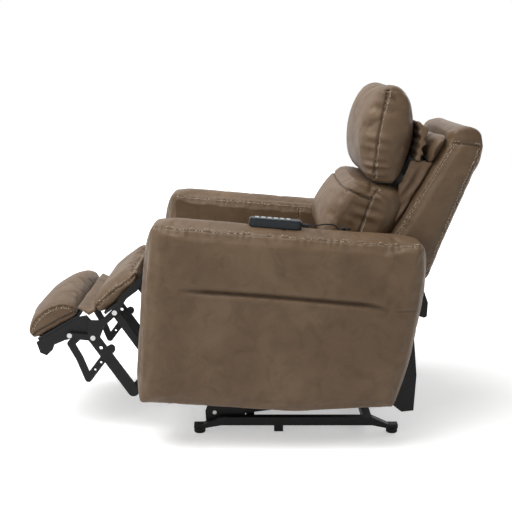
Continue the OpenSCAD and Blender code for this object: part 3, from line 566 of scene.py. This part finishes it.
def sew(bm, line_on, shift):
    """Adds stitches to bm along a line on a surface, shift to one side of it."""
    points, facing = line_on
    pitch = sizes().stitch_pitch
    run = np.concatenate([[0], np.cumsum(np.linalg.norm(np.diff(points, axis=0), axis=1))])
    half = sizes().stitch_length / 2
    thick = sizes().stitch_width / 2
    for s in np.arange(pitch, run[-1] - pitch, pitch):
        i = int(np.searchsorted(run, s))
        i = min(max(i, 2), len(points) - 3)
        along = Vector(points[i + 2] - points[i - 2])
        if along.length < 1e-7:
            continue
        along.normalize()
        up = Vector(facing[i])
        side = up.cross(along).normalized()
        up = along.cross(side).normalized()
        place = Vector(points[i]) + side * shift + up * thick * 0.35
        turn = Matrix((along, side, up)).transposed().to_4x4()
        start = len(bm.verts)
        bm.from_mesh(stitch_form())
        bm.verts.ensure_lookup_table()
        bmesh.ops.transform(bm, verts=bm.verts[start:], matrix=Matrix.Translation(place) @ turn
                            @ Matrix.Diagonal((half, thick, thick, 1)))


def thread_piece(name, rows, body):
    """One piece of sewing thread from rows of (line on a surface, shift)."""
    bm = bmesh.new()
    for line_on, shift in rows:
        sew(bm, line_on, shift)
    mesh = to_mesh(bm, name)
    smooth_faces(mesh)
    return new_piece(name, mesh, "thread", body)


def mirrored(mesh, name):
    """A mirror image of a mesh across the chair's middle."""
    bm = bmesh.new()
    bm.from_mesh(mesh)
    bmesh.ops.transform(bm, verts=bm.verts, matrix=Matrix.Diagonal((-1, 1, 1, 1)))
    bmesh.ops.reverse_faces(bm, faces=bm.faces)
    return to_mesh(bm, name)


def upholster(piece, finish):
    """Gives a remeshed piece its leather again, and the two values that its seams raise."""
    piece.data.materials.clear()
    piece.data.materials.append(finish_of(finish))
    attribute(piece.data, "seam")
    attribute(piece.data, "worn")


def stuffed(name, node, body, finish="pad", cap=None, shrink=0.004, voxel=None):
    """A filled cover over a node's outer form, ready for its seams."""
    piece = new_piece(name, outer_form(node, name), finish, body)
    even_grid(piece, voxel or sizes().voxel)
    swell(piece, sizes().pad_swell if cap is None else cap, shrink)
    upholster(piece, finish)
    return piece


def done(piece, node):
    """Closes a padded piece: smooth faces, and it stands for its node."""
    smooth_faces(piece.data)
    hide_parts(node)


def thin_cloth(piece):
    """Closes a piece of thin cloth."""
    upholster(piece, "cloth")
    smooth_faces(piece.data)


def ripple(where, rate, wander, wander_rate, slow, start):
    """A wandering wave across the chair for each point, -1 to 1."""
    fast = np.sin(where[:, 0] * rate + wander * np.sin(where[:, 2] * wander_rate))
    return fast * np.sin(where[:, 0] * slow + start)


def bridge(piece):
    """Leaves a piece that spans a joint without a parent, its place baked into its mesh."""
    piece.parent = None
    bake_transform(piece)


def seam_pair(obj, points, shift, **settings):
    """Sews a line and its mirror image; returns a row of stitches for each, shift to the same side of both."""
    return [(seam(obj, route, **settings), side * shift) for route, side in ((points, 1), (other_side(points), -1))]


def refine(obj, lines, reach=0.012, cuts=2):
    """Makes obj's grid finer along lines, so that a sewn line is crisp."""
    route = np.vstack([on_surface(obj, dense(points, 0.004))[0] for points in lines])
    gap, _ = nearest(coords(obj.data), route)
    bm = bmesh.new()
    bm.from_mesh(obj.data)
    bm.verts.ensure_lookup_table()
    edges = [e for e in bm.edges if gap[e.verts[0].index] < reach and gap[e.verts[1].index] < reach]
    bmesh.ops.subdivide_edges(bm, edges=edges, cuts=cuts, use_grid_fill=True)
    bm.to_mesh(obj.data)
    bm.free()


def press(obj, a, b, gap=0.0004):
    """Presses obj flat against the plane through the outline points a and b, on the plane's right."""
    first, last = at(0, *a), at(0, *b)
    along = (last - first).normalized()
    left = np.array([0, -along.z, along.y])
    where = coords(obj.data)
    over = (where - np.array(first)) @ left + gap
    where -= np.maximum(over, 0)[:, None] * left
    set_coords(obj.data, where)


def keep_inside(obj, low, high):
    """Presses obj flat between two planes across X."""
    where = coords(obj.data)
    where[:, 0] = np.clip(where[:, 0], low, high)
    set_coords(obj.data, where)


def prism(name, half, outline, bevel):
    """A form of one outline of [y, z] points, 2 * half wide, with its edges rounded."""
    bm = bmesh.new()
    face = bm.faces.new([bm.verts.new(at(-half * 1000, y, z)) for y, z in outline])
    side = bmesh.ops.extrude_face_region(bm, geom=[face])
    moved = [v for v in side["geom"] if isinstance(v, bmesh.types.BMVert)]
    bmesh.ops.translate(bm, verts=moved, vec=(2 * half, 0, 0))
    bmesh.ops.recalc_face_normals(bm, faces=bm.faces)
    bmesh.ops.bevel(bm, geom=bm.edges[:], offset=bevel, segments=3, profile=0.5, affect="EDGES", material=-1)
    return to_mesh(bm, name)


# ---- Camera and cord ----

LENS, CAMERA_RISE, CAMERA_AWAY, LOOK_AT_Z = 70.3, 11, 3.15, 0.4873
LEAD = ((335, 146.7, 639.5), (335, 158, 638.7), (332, 176, 640), (326, 194, 641), (320, 210, 639.5), (316, 222, 635.5),
        (316, 229, 629), (316, 234, 624.2), (314.5, 237, 622.8))
CURLS, CURL_STEPS, CURL_RADIUS = 3, 16, 0.0036
CURL_FIRST, CURL_SPAN = 0.17, 0.66
DROP = ((302, 258, 621.2), (298, 264, 621), (289, 268, 621.2), (277, 268, 621), (267, 267, 620.4), (258, 265, 616),
        (252.5, 263, 606), (251, 262, 592), (251, 262, 578), (251, 262, 566))


class CHAIR_OT_camera(bpy.types.Operator):
    """Adds the camera that looks at the chair's left side"""
    bl_idname = "chair.camera"
    bl_label = "Camera"

    def execute(self, context):
        data = bpy.data.cameras.new("Camera")
        data.lens, data.sensor_width = LENS, 36
        camera = bpy.data.objects.new("Camera", data)
        context.scene.collection.objects.link(camera)
        target = Vector((0, DATUM_Y, LOOK_AT_Z))
        rise = math.radians(CAMERA_RISE)
        camera.location = target + CAMERA_AWAY * Vector((math.cos(rise), 0, math.sin(rise)))
        camera.rotation_euler = (target - camera.location).to_track_quat("-Z", "Y").to_euler()
        context.scene.camera = camera
        return {"FINISHED"}


class CHAIR_OT_cord(bpy.types.Operator):
    """Makes the handset's cord: out of the tail, three curls on the arm, and down to its gland"""
    bl_idname = "chair.cord"
    bl_label = "Handset cord"

    def execute(self, context):
        start, end = at(*LEAD[-1]), at(*DROP[0])
        side = (end - start).cross(Vector((0, 0, 1))).normalized()
        steps = CURL_STEPS * CURLS
        curl = []
        for i in range(steps + 1):
            turn = 2 * math.pi * i / CURL_STEPS
            loop = math.sin(turn) * side + Vector((0, 0, 1 - math.cos(turn)))
            curl.append(start + (end - start) * (CURL_FIRST + CURL_SPAN * i / steps) + CURL_RADIUS * loop)
        curl.append(end)
        points = list(dense([at(*p) for p in LEAD], 0.004))
        points += [np.array(p) for p in curl] + list(dense([at(*p) for p in DROP], 0.004))[1:]
        points.append(np.array(at(*DROP[-1])))
        data = bpy.data.curves.new("handset_cord", "CURVE")
        data.dimensions = "3D"
        data.bevel_depth, data.bevel_resolution, data.use_fill_caps = sizes().cord_width / 2, 4, True
        spline = data.splines.new("POLY")
        spline.points.add(len(points) - 1)
        for point, place in zip(spline.points, points):
            point.co = (*place, 1)
        cord = bpy.data.objects.new("handset_cord", data)
        context.scene.collection.objects.link(cord)
        data.materials.append(finish_of("cord"))
        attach(cord, "chair")
        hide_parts("handset_lead", "handset_curls", "handset_drop")
        return {"FINISHED"}


# ---- Upholstery ----

# Lines and outlines as pairs of y and z.
CREASE = ((-217, 469), (-162, 466), (0, 455), (160, 441), (312, 426), (378, 409))
OTTOMAN_PIVOT = (-550, 295)
CALF_UNDER = ((-452, 362), (-340, 446))
OTTOMAN_UNDER = ((-658, 277), (-526, 354))
REAR_FOLD = ((-331, 500), (-320, 491), (-309, 499), (-298, 489), (-289, 496), (-283.5, 492), (-283.5, 476),
             (-290, 470), (-309, 478), (-322, 471), (-331, 476))
BACK_OUTLINE = ((552, 871), (556, 898), (570, 908), (604, 914), (626, 908), (641, 896), (649, 858), (641, 812),
                (505, 478), (497, 457), (404, 462), (345, 514))
FALL = ((258, 440), (286, 498), (300, 548), (308, 548), (296, 496), (268, 438))
APRON = ((398, 606), (406, 664), (409, 738), (420, 750), (438, 796), (446, 812), (512, 806))
PILLOW_REST = ((296, 750), (404, 734))
# Around the ottoman's pivot: angles of the two pads' faces, and rays (angle, reach) to the front gusset's corners.
CALF_FACE, OTTOMAN_FACE = 56.5, 66
FRONT_TROUGH = ((48, 112), (53, 94), (62, 92), (73, 93), (73, 84), (62, 84), (46, 84), (43, 110))


def ray(angle, reach=200.0):
    """A point in the outlines' plane on a ray from the ottoman's pivot."""
    turn = math.radians(angle)
    return OTTOMAN_PIVOT[0] + reach * math.cos(turn), OTTOMAN_PIVOT[1] + reach * math.sin(turn)


class CHAIR_OT_arms(bpy.types.Operator):
    """Makes the two padded arms with their crease and their sewn edges"""
    bl_idname = "chair.arms"
    bl_label = "Arms"

    def execute(self, context):
        arm = stuffed("arm_near", "arm_left", "chair", "leather", cap=sizes().arm_swell)
        keep_inside(arm, ARM_IN + 0.0003, ARM_OUT + 0.01)
        edge = [at(404, y, arm_top(y) - 7) for y in range(-280, 470, 15)]
        front = [at(403, *p) for p in ((-296, 640), (-309, 560), (-322, 440), (-333, 300), (-339, 160))]
        rear = [at(403, *p) for p in ((470, 590), (474, 511), (462, 404), (434, 245), (398, 130))]
        inner_edge = [at(259, y, arm_top(y) - 6) for y in range(-280, 470, 15)]
        crease = line(408, *CREASE)
        faint = line(408, (378, 409), (420, 410), (464, 409))
        panel = line(256, (145, 620), (145, 570))
        refine(arm, [edge, front, rear, inner_edge, crease, faint, panel])
        seam(arm, crease, width=0.0085, depth=0.0100, shade=1.0, taper=0.14)
        fold(arm, [p - Vector((0, 0, 0.014)) for p in crease], 0.010, 0.0032, taper=0.3)
        fold(arm, [p + Vector((0, 0, 0.016)) for p in crease], 0.012, 0.0022, taper=0.3)
        seam(arm, faint, width=0.004, depth=0.0015, shade=0.5, taper=0.4)
        rows = []
        for points in (front, rear):
            seam(arm, points, width=0.0028, depth=0.0012, shade=0.3)
        for points in (edge, inner_edge):
            rows.append((seam(arm, points, width=0.0032, depth=0.0022, pucker=0.0008, shade=0.75), 0.0042))
        column = seam(arm, panel, width=0.003, depth=0.002, shade=0.6)
        rows += [(column, 0.0045), (column, -0.0045)]
        threads = thread_piece("thread_arm_near", rows, "chair")
        far = new_piece("arm_far", mirrored(arm.data, "arm_far"), "leather", "chair")
        new_piece("thread_arm_far", mirrored(threads.data, "thread_arm_far"), "thread", "chair")
        done(arm, "arm_left")
        done(far, "arm_right")
        return {"FINISHED"}


class CHAIR_OT_seat(bpy.types.Operator):
    """Makes the seat cushion between the arms"""
    bl_idname = "chair.seat"
    bl_label = "Seat cushion"

    def execute(self, context):
        seat = stuffed("seat_pad", "seat_cushion", "chair", cap=0.009)
        keep_inside(seat, -WING_HALF, WING_HALF)
        press(seat, (300, 378.4), (-262.5, 436.4))
        front, back = across(-262, 530), across(140, 500)
        refine(seat, [front, back])
        rows = [(seam(seat, points, width=0.004, depth=0.003, pucker=0.001), 0.005) for points in (front, back)]
        thread_piece("thread_seat", rows, "chair")
        done(seat, "seat_cushion")
        return {"FINISHED"}


class CHAIR_OT_footrest(bpy.types.Operator):
    """Makes the calf pad and the ottoman pad"""
    bl_idname = "chair.footrest"
    bl_label = "Footrest pads"

    def execute(self, context):
        calf = stuffed("calf_cover", "calf_pad", "calf", cap=0.012)
        keep_inside(calf, -PAD_HALF, PAD_HALF)
        press(calf, CALF_UNDER[1], CALF_UNDER[0])
        press(calf, OTTOMAN_PIVOT, ray(CALF_FACE))
        side = line(SIDE_X, (-474, 380), (-423, 427), (-346, 480))
        low = line(SIDE_X, (-460, 366), (-421, 386), (-352, 440))
        top = across(-362, 497)
        refine(calf, [side, other_side(side), top])
        rows = seam_pair(calf, side, 0.005, width=0.004, depth=0.0045, pucker=0.0012, shade=1.0)
        rows.append((seam(calf, top, width=0.004, depth=0.003, pucker=0.001), 0.005))
        for points in (low, other_side(low)):
            fold(calf, points, 0.008, 0.002, taper=0.3)
        thread_piece("thread_calf", rows, "calf")
        done(calf, "calf_pad")

        ottoman = stuffed("ottoman_cover", "ottoman_pad", "ottoman", cap=0.014)
        keep_inside(ottoman, -PAD_HALF, PAD_HALF)
        press(ottoman, OTTOMAN_UNDER[1], OTTOMAN_UNDER[0])
        press(ottoman, ray(OTTOMAN_FACE), OTTOMAN_PIVOT)
        welt = line(SIDE_X, (-530, 382), (-548, 389), (-575, 391), (-609, 379), (-641, 354), (-667, 316))
        deep = line(SIDE_X, (-527, 363), (-562, 343), (-598, 323), (-639, 300), (-662, 284))
        refine(ottoman, [welt, other_side(welt), deep, other_side(deep)])
        seam_pair(ottoman, deep, 0, width=0.0055, depth=0.007, shade=1.0)
        rows = []
        for points, shift in ((welt, 0.004), (other_side(welt), -0.004)):
            fold(ottoman, points, 0.006, 0.003, taper=0.15)
            made = seam(ottoman, [p - Vector((0, 0, 0.007)) for p in points], width=0.003, depth=0.003, shade=0.7)
            rows.append((made, shift))
        thread_piece("thread_ottoman", rows, "ottoman")
        done(ottoman, "ottoman_pad")
        return {"FINISHED"}


class CHAIR_OT_gussets(bpy.types.Operator):
    """Makes the folded cloth that closes the gaps beside the calf pad"""
    bl_idname = "chair.gussets"
    bl_label = "Cloth gussets"

    def execute(self, context):
        trough = [ray(turn, reach) for turn, reach in FRONT_TROUGH]
        front = new_piece("front_gusset", prism("front_gusset", 0.241, trough, 0.0015), "cloth", "calf")
        self.drape(front, 0.0035)
        bridge(front)
        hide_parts("leg_gussets")

        rear = new_piece("rear_gusset", prism("rear_gusset", 0.232, REAR_FOLD, 0.001), "cloth", "calf")
        self.drape(rear, 0.005)
        bridge(rear)
        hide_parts("leg_gussets")
        return {"FINISHED"}

    def drape(self, piece, voxel):
        """Gives the cloth a fine grid and soft wandering folds."""
        even_grid(piece, voxel)
        where = coords(piece.data)
        wave = ripple(where, 41, 2.0, 60, 13.7, 0.6)
        set_coords(piece.data, where + normals(piece.data) * (0.0009 * wave)[:, None])
        thin_cloth(piece)


class CHAIR_OT_back(bpy.types.Operator):
    """Makes the back: its shell with side wings, the lumbar cushion, the top roll and the cloth between"""
    bl_idname = "chair.back"
    bl_label = "Back"

    def execute(self, context):
        shell = new_piece("back_cover", prism("back_cover", 0.2485, BACK_OUTLINE, 0.007), "shell", "back")
        even_grid(shell, sizes().voxel)
        swell(shell, 0.005, 0.002, pressure=3.0)
        upholster(shell, "shell")
        keep_inside(shell, -WING_HALF, WING_HALF)
        self.shell_seams(shell)
        done(shell, "back_shell")

        lumbar = stuffed("lumbar_cover", "lumbar_cushion", "back")
        keep_inside(lumbar, -LUMBAR_HALF, LUMBAR_HALF)
        press(lumbar, *PILLOW_REST)
        self.lumbar_seams(lumbar)
        done(lumbar, "lumbar_cushion")

        roll = stuffed("top_roll", "back_top_pad", "back", cap=0.008, shrink=0.003, voxel=0.006)
        keep_inside(roll, -PAD_HALF, PAD_HALF)
        for x in (-120, 0, 130):
            fold(roll, [at(x, 494, 842), at(x + 6, 508, 868), at(x + 12, 535, 886)], 0.010, -0.0025, taper=0.4)
        done(roll, "back_top_pad")
        self.apron("apron_near", 1)
        self.apron("apron_far", -1)
        self.fall()
        return {"FINISHED"}

    def shell_seams(self, shell):
        """Sews the wings' borders, double seams and front edges."""
        border = line(250, (556, 860), (601, 858), (639, 852))
        double = line(250, (639, 847), (610, 763), (572, 659), (535, 557), (501, 470))
        front = line(250, (560, 857), (483, 727), (402, 589))
        near = [border, double, front]
        refine(shell, near + [other_side(points) for points in near])
        rows = seam_pair(shell, border, 0.005, width=0.0035, depth=0.003, shade=0.9)
        for made, _ in seam_pair(shell, double, 0, width=0.003, depth=0.0022, pucker=0.0006, shade=0.75):
            rows += [(made, 0.0042), (made, -0.0042)]
        rows += seam_pair(shell, front, 0, width=0.003, depth=0.0014, pucker=0.0008, shade=0.35)
        fold(shell, line(250, (560, 874), (601, 872), (643, 868)), 0.008, 0.002, taper=0.2)
        thread_piece("thread_back", rows, "back")

    def lumbar_seams(self, lumbar):
        """Sews the lumbar cushion's piping and its gathered side seams."""
        piping = [at(*p) for p in ((240, 256, 731), (170, 249, 737), (90, 245, 740), (0, 244, 741), (-90, 245, 740),
                                   (-170, 249, 737), (-240, 256, 731))]
        side = line(SIDE_X, (346, 736), (330, 699), (314, 652), (297, 603))
        upper = line(240, (256, 731), (290, 715), (326, 699))
        refine(lumbar, [side, upper, other_side(side), other_side(upper), piping])
        for points in (upper, other_side(upper), piping):
            seam(lumbar, points, width=0.004, depth=0.005, shade=1.0)
        rows = seam_pair(lumbar, side, 0.005, width=0.004, depth=0.004, pucker=0.0036, pitch=0.03, shade=0.85,
                         both_sides=0.028)
        for x in (SIDE_X, -SIDE_X):
            fold(lumbar, line(x, (257, 654), (286, 625)), 0.008, 0.004, taper=0.5)
        fold(lumbar, [p + Vector((0, 0.006, 0.004)) for p in piping], 0.008, -0.002, taper=0.1)
        thread_piece("thread_lumbar", rows, "back")

    def apron(self, name, side):
        """Closes the gap between the cushions and a wing with pleated cloth."""
        apron = new_piece(name, prism(name, 0.0035, APRON, 0.001), "cloth", "back")
        even_grid(apron, 0.004)
        where = coords(apron.data)
        along = 0.865 * (where[:, 1] - 0.40) - 0.5 * (where[:, 2] - 0.6)
        pleat = np.sin(along * 210 + 2 * np.sin(where[:, 2] * 23)) * np.sin(where[:, 2] * 31 + 0.4)
        where[:, 0] += side * 0.220 + 0.005 * pleat
        set_coords(apron.data, where)
        thin_cloth(apron)

    def fall(self):
        """Hangs the cloth that closes the gap between the seat and the lumbar cushion."""
        fall = new_piece("seat_fall", prism("seat_fall", 0.236, FALL, 0.001), "cloth", "back")
        even_grid(fall, 0.005)
        where = coords(fall.data)
        where[:, 1] += 0.002 * ripple(where, 23, 1.5, 40, 9.1, 0.3)
        set_coords(fall.data, where)
        thin_cloth(fall)
        bridge(fall)


class CHAIR_OT_headrest(bpy.types.Operator):
    """Makes the headrest pillow and the cloth gathered behind it"""
    bl_idname = "chair.headrest"
    bl_label = "Headrest"

    def execute(self, context):
        pillow = stuffed("pillow_cover", "headrest_pillow", "headrest")
        keep_inside(pillow, -PAD_HALF, PAD_HALF)
        press(pillow, PILLOW_REST[1], PILLOW_REST[0])
        side = line(SIDE_X, (366, 1034), (371, 1007), (353, 918), (339, 814), (336, 752))
        dart = line(SIDE_X, (378, 996), (405, 974))
        refine(pillow, [side, dart, other_side(side), other_side(dart)])
        rows = seam_pair(pillow, side, 0.005, width=0.0045, depth=0.005, pucker=0.0032, pitch=0.034, shade=0.9,
                         both_sides=0.030)
        for points in (dart, other_side(dart)):
            fold(pillow, points, 0.006, -0.003, taper=0.5, shade=0.6)
        thread_piece("thread_pillow", rows, "headrest")
        done(pillow, "headrest_pillow")

        gather = new_piece("gathered_cloth", whole_form("headrest_gather", "gathered_cloth"), "cloth", "back")
        even_grid(gather, 0.0045)
        where = coords(gather.data)
        wave = ripple(where, 48, 3, 35, 17, 1.1)
        set_coords(gather.data, where + normals(gather.data) * (0.0016 * wave)[:, None])
        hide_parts("headrest_gather")
        thin_cloth(gather)
        bridge(gather)
        return {"FINISHED"}


# ---- Finishes of the frame's own parts ----

KEPT = {
    "steel": ("base_rails", "base_cross_tubes", "lift_brackets", "lift_arms", "lift_front_links", "side_plates",
              "lift_plates", "calf_brackets", "wide_links", "stay_bars", "footrest_cranks", "v_links", "ottoman_rails",
              "back_brackets", "headrest_hinges", "headrest_lugs", "frame_pivots", "crank_rivets"),
    "zinc": ("lift_base_pins", "lift_rod", "lift_frame_pins", "seat_springs", "calf_rivets", "back_springs"),
    "rubber": ("floor_feet", "centre_blocks"),
    "plastic": ("lift_motor", "footrest_motor", "footrest_carriage", "recline_motor", "recline_carriage", "control_box",
                "cord_gland", "calf_board", "ottoman_board"),
    "wood": ("seat_rails", "arm_frames", "back_frame", "headrest_board"),
    "case": ("handset",),
    "key": ("key_1", "key_2", "key_3", "key_4", "key_5", "key_6"),
}


class CHAIR_OT_finishes(bpy.types.Operator):
    """Gives the steel, wood, plastic and rubber parts their finishes"""
    bl_idname = "chair.finishes"
    bl_label = "Finishes"

    def execute(self, context):
        for finish, names in KEPT.items():
            for name in names:
                data = NODES[name].data
                if not data.materials:
                    data.materials.append(None)
                for index in range(len(data.materials)):
                    data.materials[index] = finish_of(finish)
        return {"FINISHED"}


# ---- Stage ----

LAMPS = (("Top lamp", (0.6, -1.1, 3.3), 3.0, 170), ("Side lamp", (3.4, -2.6, 2.2), 2.4, 36),
         ("Back lamp", (-3.0, 2.4, 2.6), 2.6, 40))
LAMP_AIM = Vector((0, 0, 0.45))
FLOOR_HALF, FLOOR_DROP = 7, 0.0005
# Strength of the backdrop as a light, and as it is seen.
WORLD_LIGHT, WORLD_SEEN = 0.34, 1.0


class CHAIR_OT_stage(bpy.types.Operator):
    """Adds the pale floor, the backdrop and soft lamps"""
    bl_idname = "chair.stage"
    bl_label = "Stage"

    def seen(self, tree):
        """1 for rays that show the backdrop: from the camera, a reflection or glass."""
        path = add(tree, "LightPath")
        either = combine(tree, "MAXIMUM", path.outputs["Is Camera Ray"], path.outputs["Is Glossy Ray"])
        return combine(tree, "MAXIMUM", either, path.outputs["Is Transmission Ray"])

    def execute(self, context):
        world = bpy.data.worlds.new("Studio")
        world.use_nodes = True
        context.scene.world = world
        back = world.node_tree.nodes["Background"]
        tone = spread(world.node_tree, self.seen(world.node_tree), 0, 1, WORLD_LIGHT, WORLD_SEEN)
        world.node_tree.links.new(tone, back.inputs["Strength"])
        back.inputs["Color"].default_value = (1, 1, 1, 1)

        bm = bmesh.new()
        bmesh.ops.create_grid(bm, x_segments=1, y_segments=1, size=FLOOR_HALF)
        mesh = to_mesh(bm, "floor")
        floor = bpy.data.objects.new("floor", mesh)
        floor.location.z = -FLOOR_DROP
        context.scene.collection.objects.link(floor)
        made, tree, shader = material("Pale floor")
        shader.inputs["Base Color"].default_value = (0.82, 0.82, 0.82, 1)
        shader.inputs["Roughness"].default_value = 0.9
        shader.inputs["Specular IOR Level"].default_value = 0.1
        shader.inputs["Emission Color"].default_value = (1, 1, 1, 1)
        away = add(tree, "VectorMath", ((0, add(tree, "TexCoord").outputs["Object"]),), operation="LENGTH")
        glow = spread(tree, away.outputs["Value"], 1.0, 3.2, 0.42, 1.1)
        lit = combine(tree, "MULTIPLY", glow, self.seen(tree))
        tree.links.new(lit, shader.inputs["Emission Strength"])
        mesh.materials.append(made)
        context.scene.view_settings.view_transform = "Standard"

        for name, place, width, power in LAMPS:
            data = bpy.data.lights.new(name, "AREA")
            data.shape, data.size, data.energy = "SQUARE", width, power
            lamp = bpy.data.objects.new(name, data)
            lamp.location = place
            lamp.rotation_euler = (LAMP_AIM - Vector(place)).to_track_quat("-Z", "Y").to_euler()
            context.scene.collection.objects.link(lamp)
        return {"FINISHED"}


class CHAIR_PT_panel(bpy.types.Panel):
    """Lists the steps that dress the chair"""
    bl_label = "Lift recliner chair"
    bl_idname = "CHAIR_PT_panel"
    bl_space_type = "VIEW_3D"
    bl_region_type = "UI"
    bl_category = "Recliner"

    def draw(self, context):
        for group in (context.scene.chair_sizes, context.scene.chair_colours):
            for name in group.__annotations__:
                self.layout.prop(group, name)
        for step in STEPS:
            self.layout.operator("chair." + step)


STEPS = ("camera", "cord", "arms", "seat", "footrest", "gussets", "back", "headrest", "finishes", "stage")
CLASSES = (ChairSizes, ChairColours, CHAIR_OT_camera, CHAIR_OT_cord, CHAIR_OT_arms, CHAIR_OT_seat, CHAIR_OT_footrest,
           CHAIR_OT_gussets, CHAIR_OT_back, CHAIR_OT_headrest, CHAIR_OT_finishes, CHAIR_OT_stage, CHAIR_PT_panel)


def register():
    for item in CLASSES:
        bpy.utils.register_class(item)
    bpy.types.Scene.chair_sizes = PointerProperty(type=ChairSizes)
    bpy.types.Scene.chair_colours = PointerProperty(type=ChairColours)


def unregister():
    del bpy.types.Scene.chair_colours
    del bpy.types.Scene.chair_sizes
    for item in reversed(CLASSES):
        bpy.utils.unregister_class(item)


def main():
    register()
    for step in STEPS:
        getattr(bpy.ops.chair, step)()


if __name__ == "__main__":
    main()
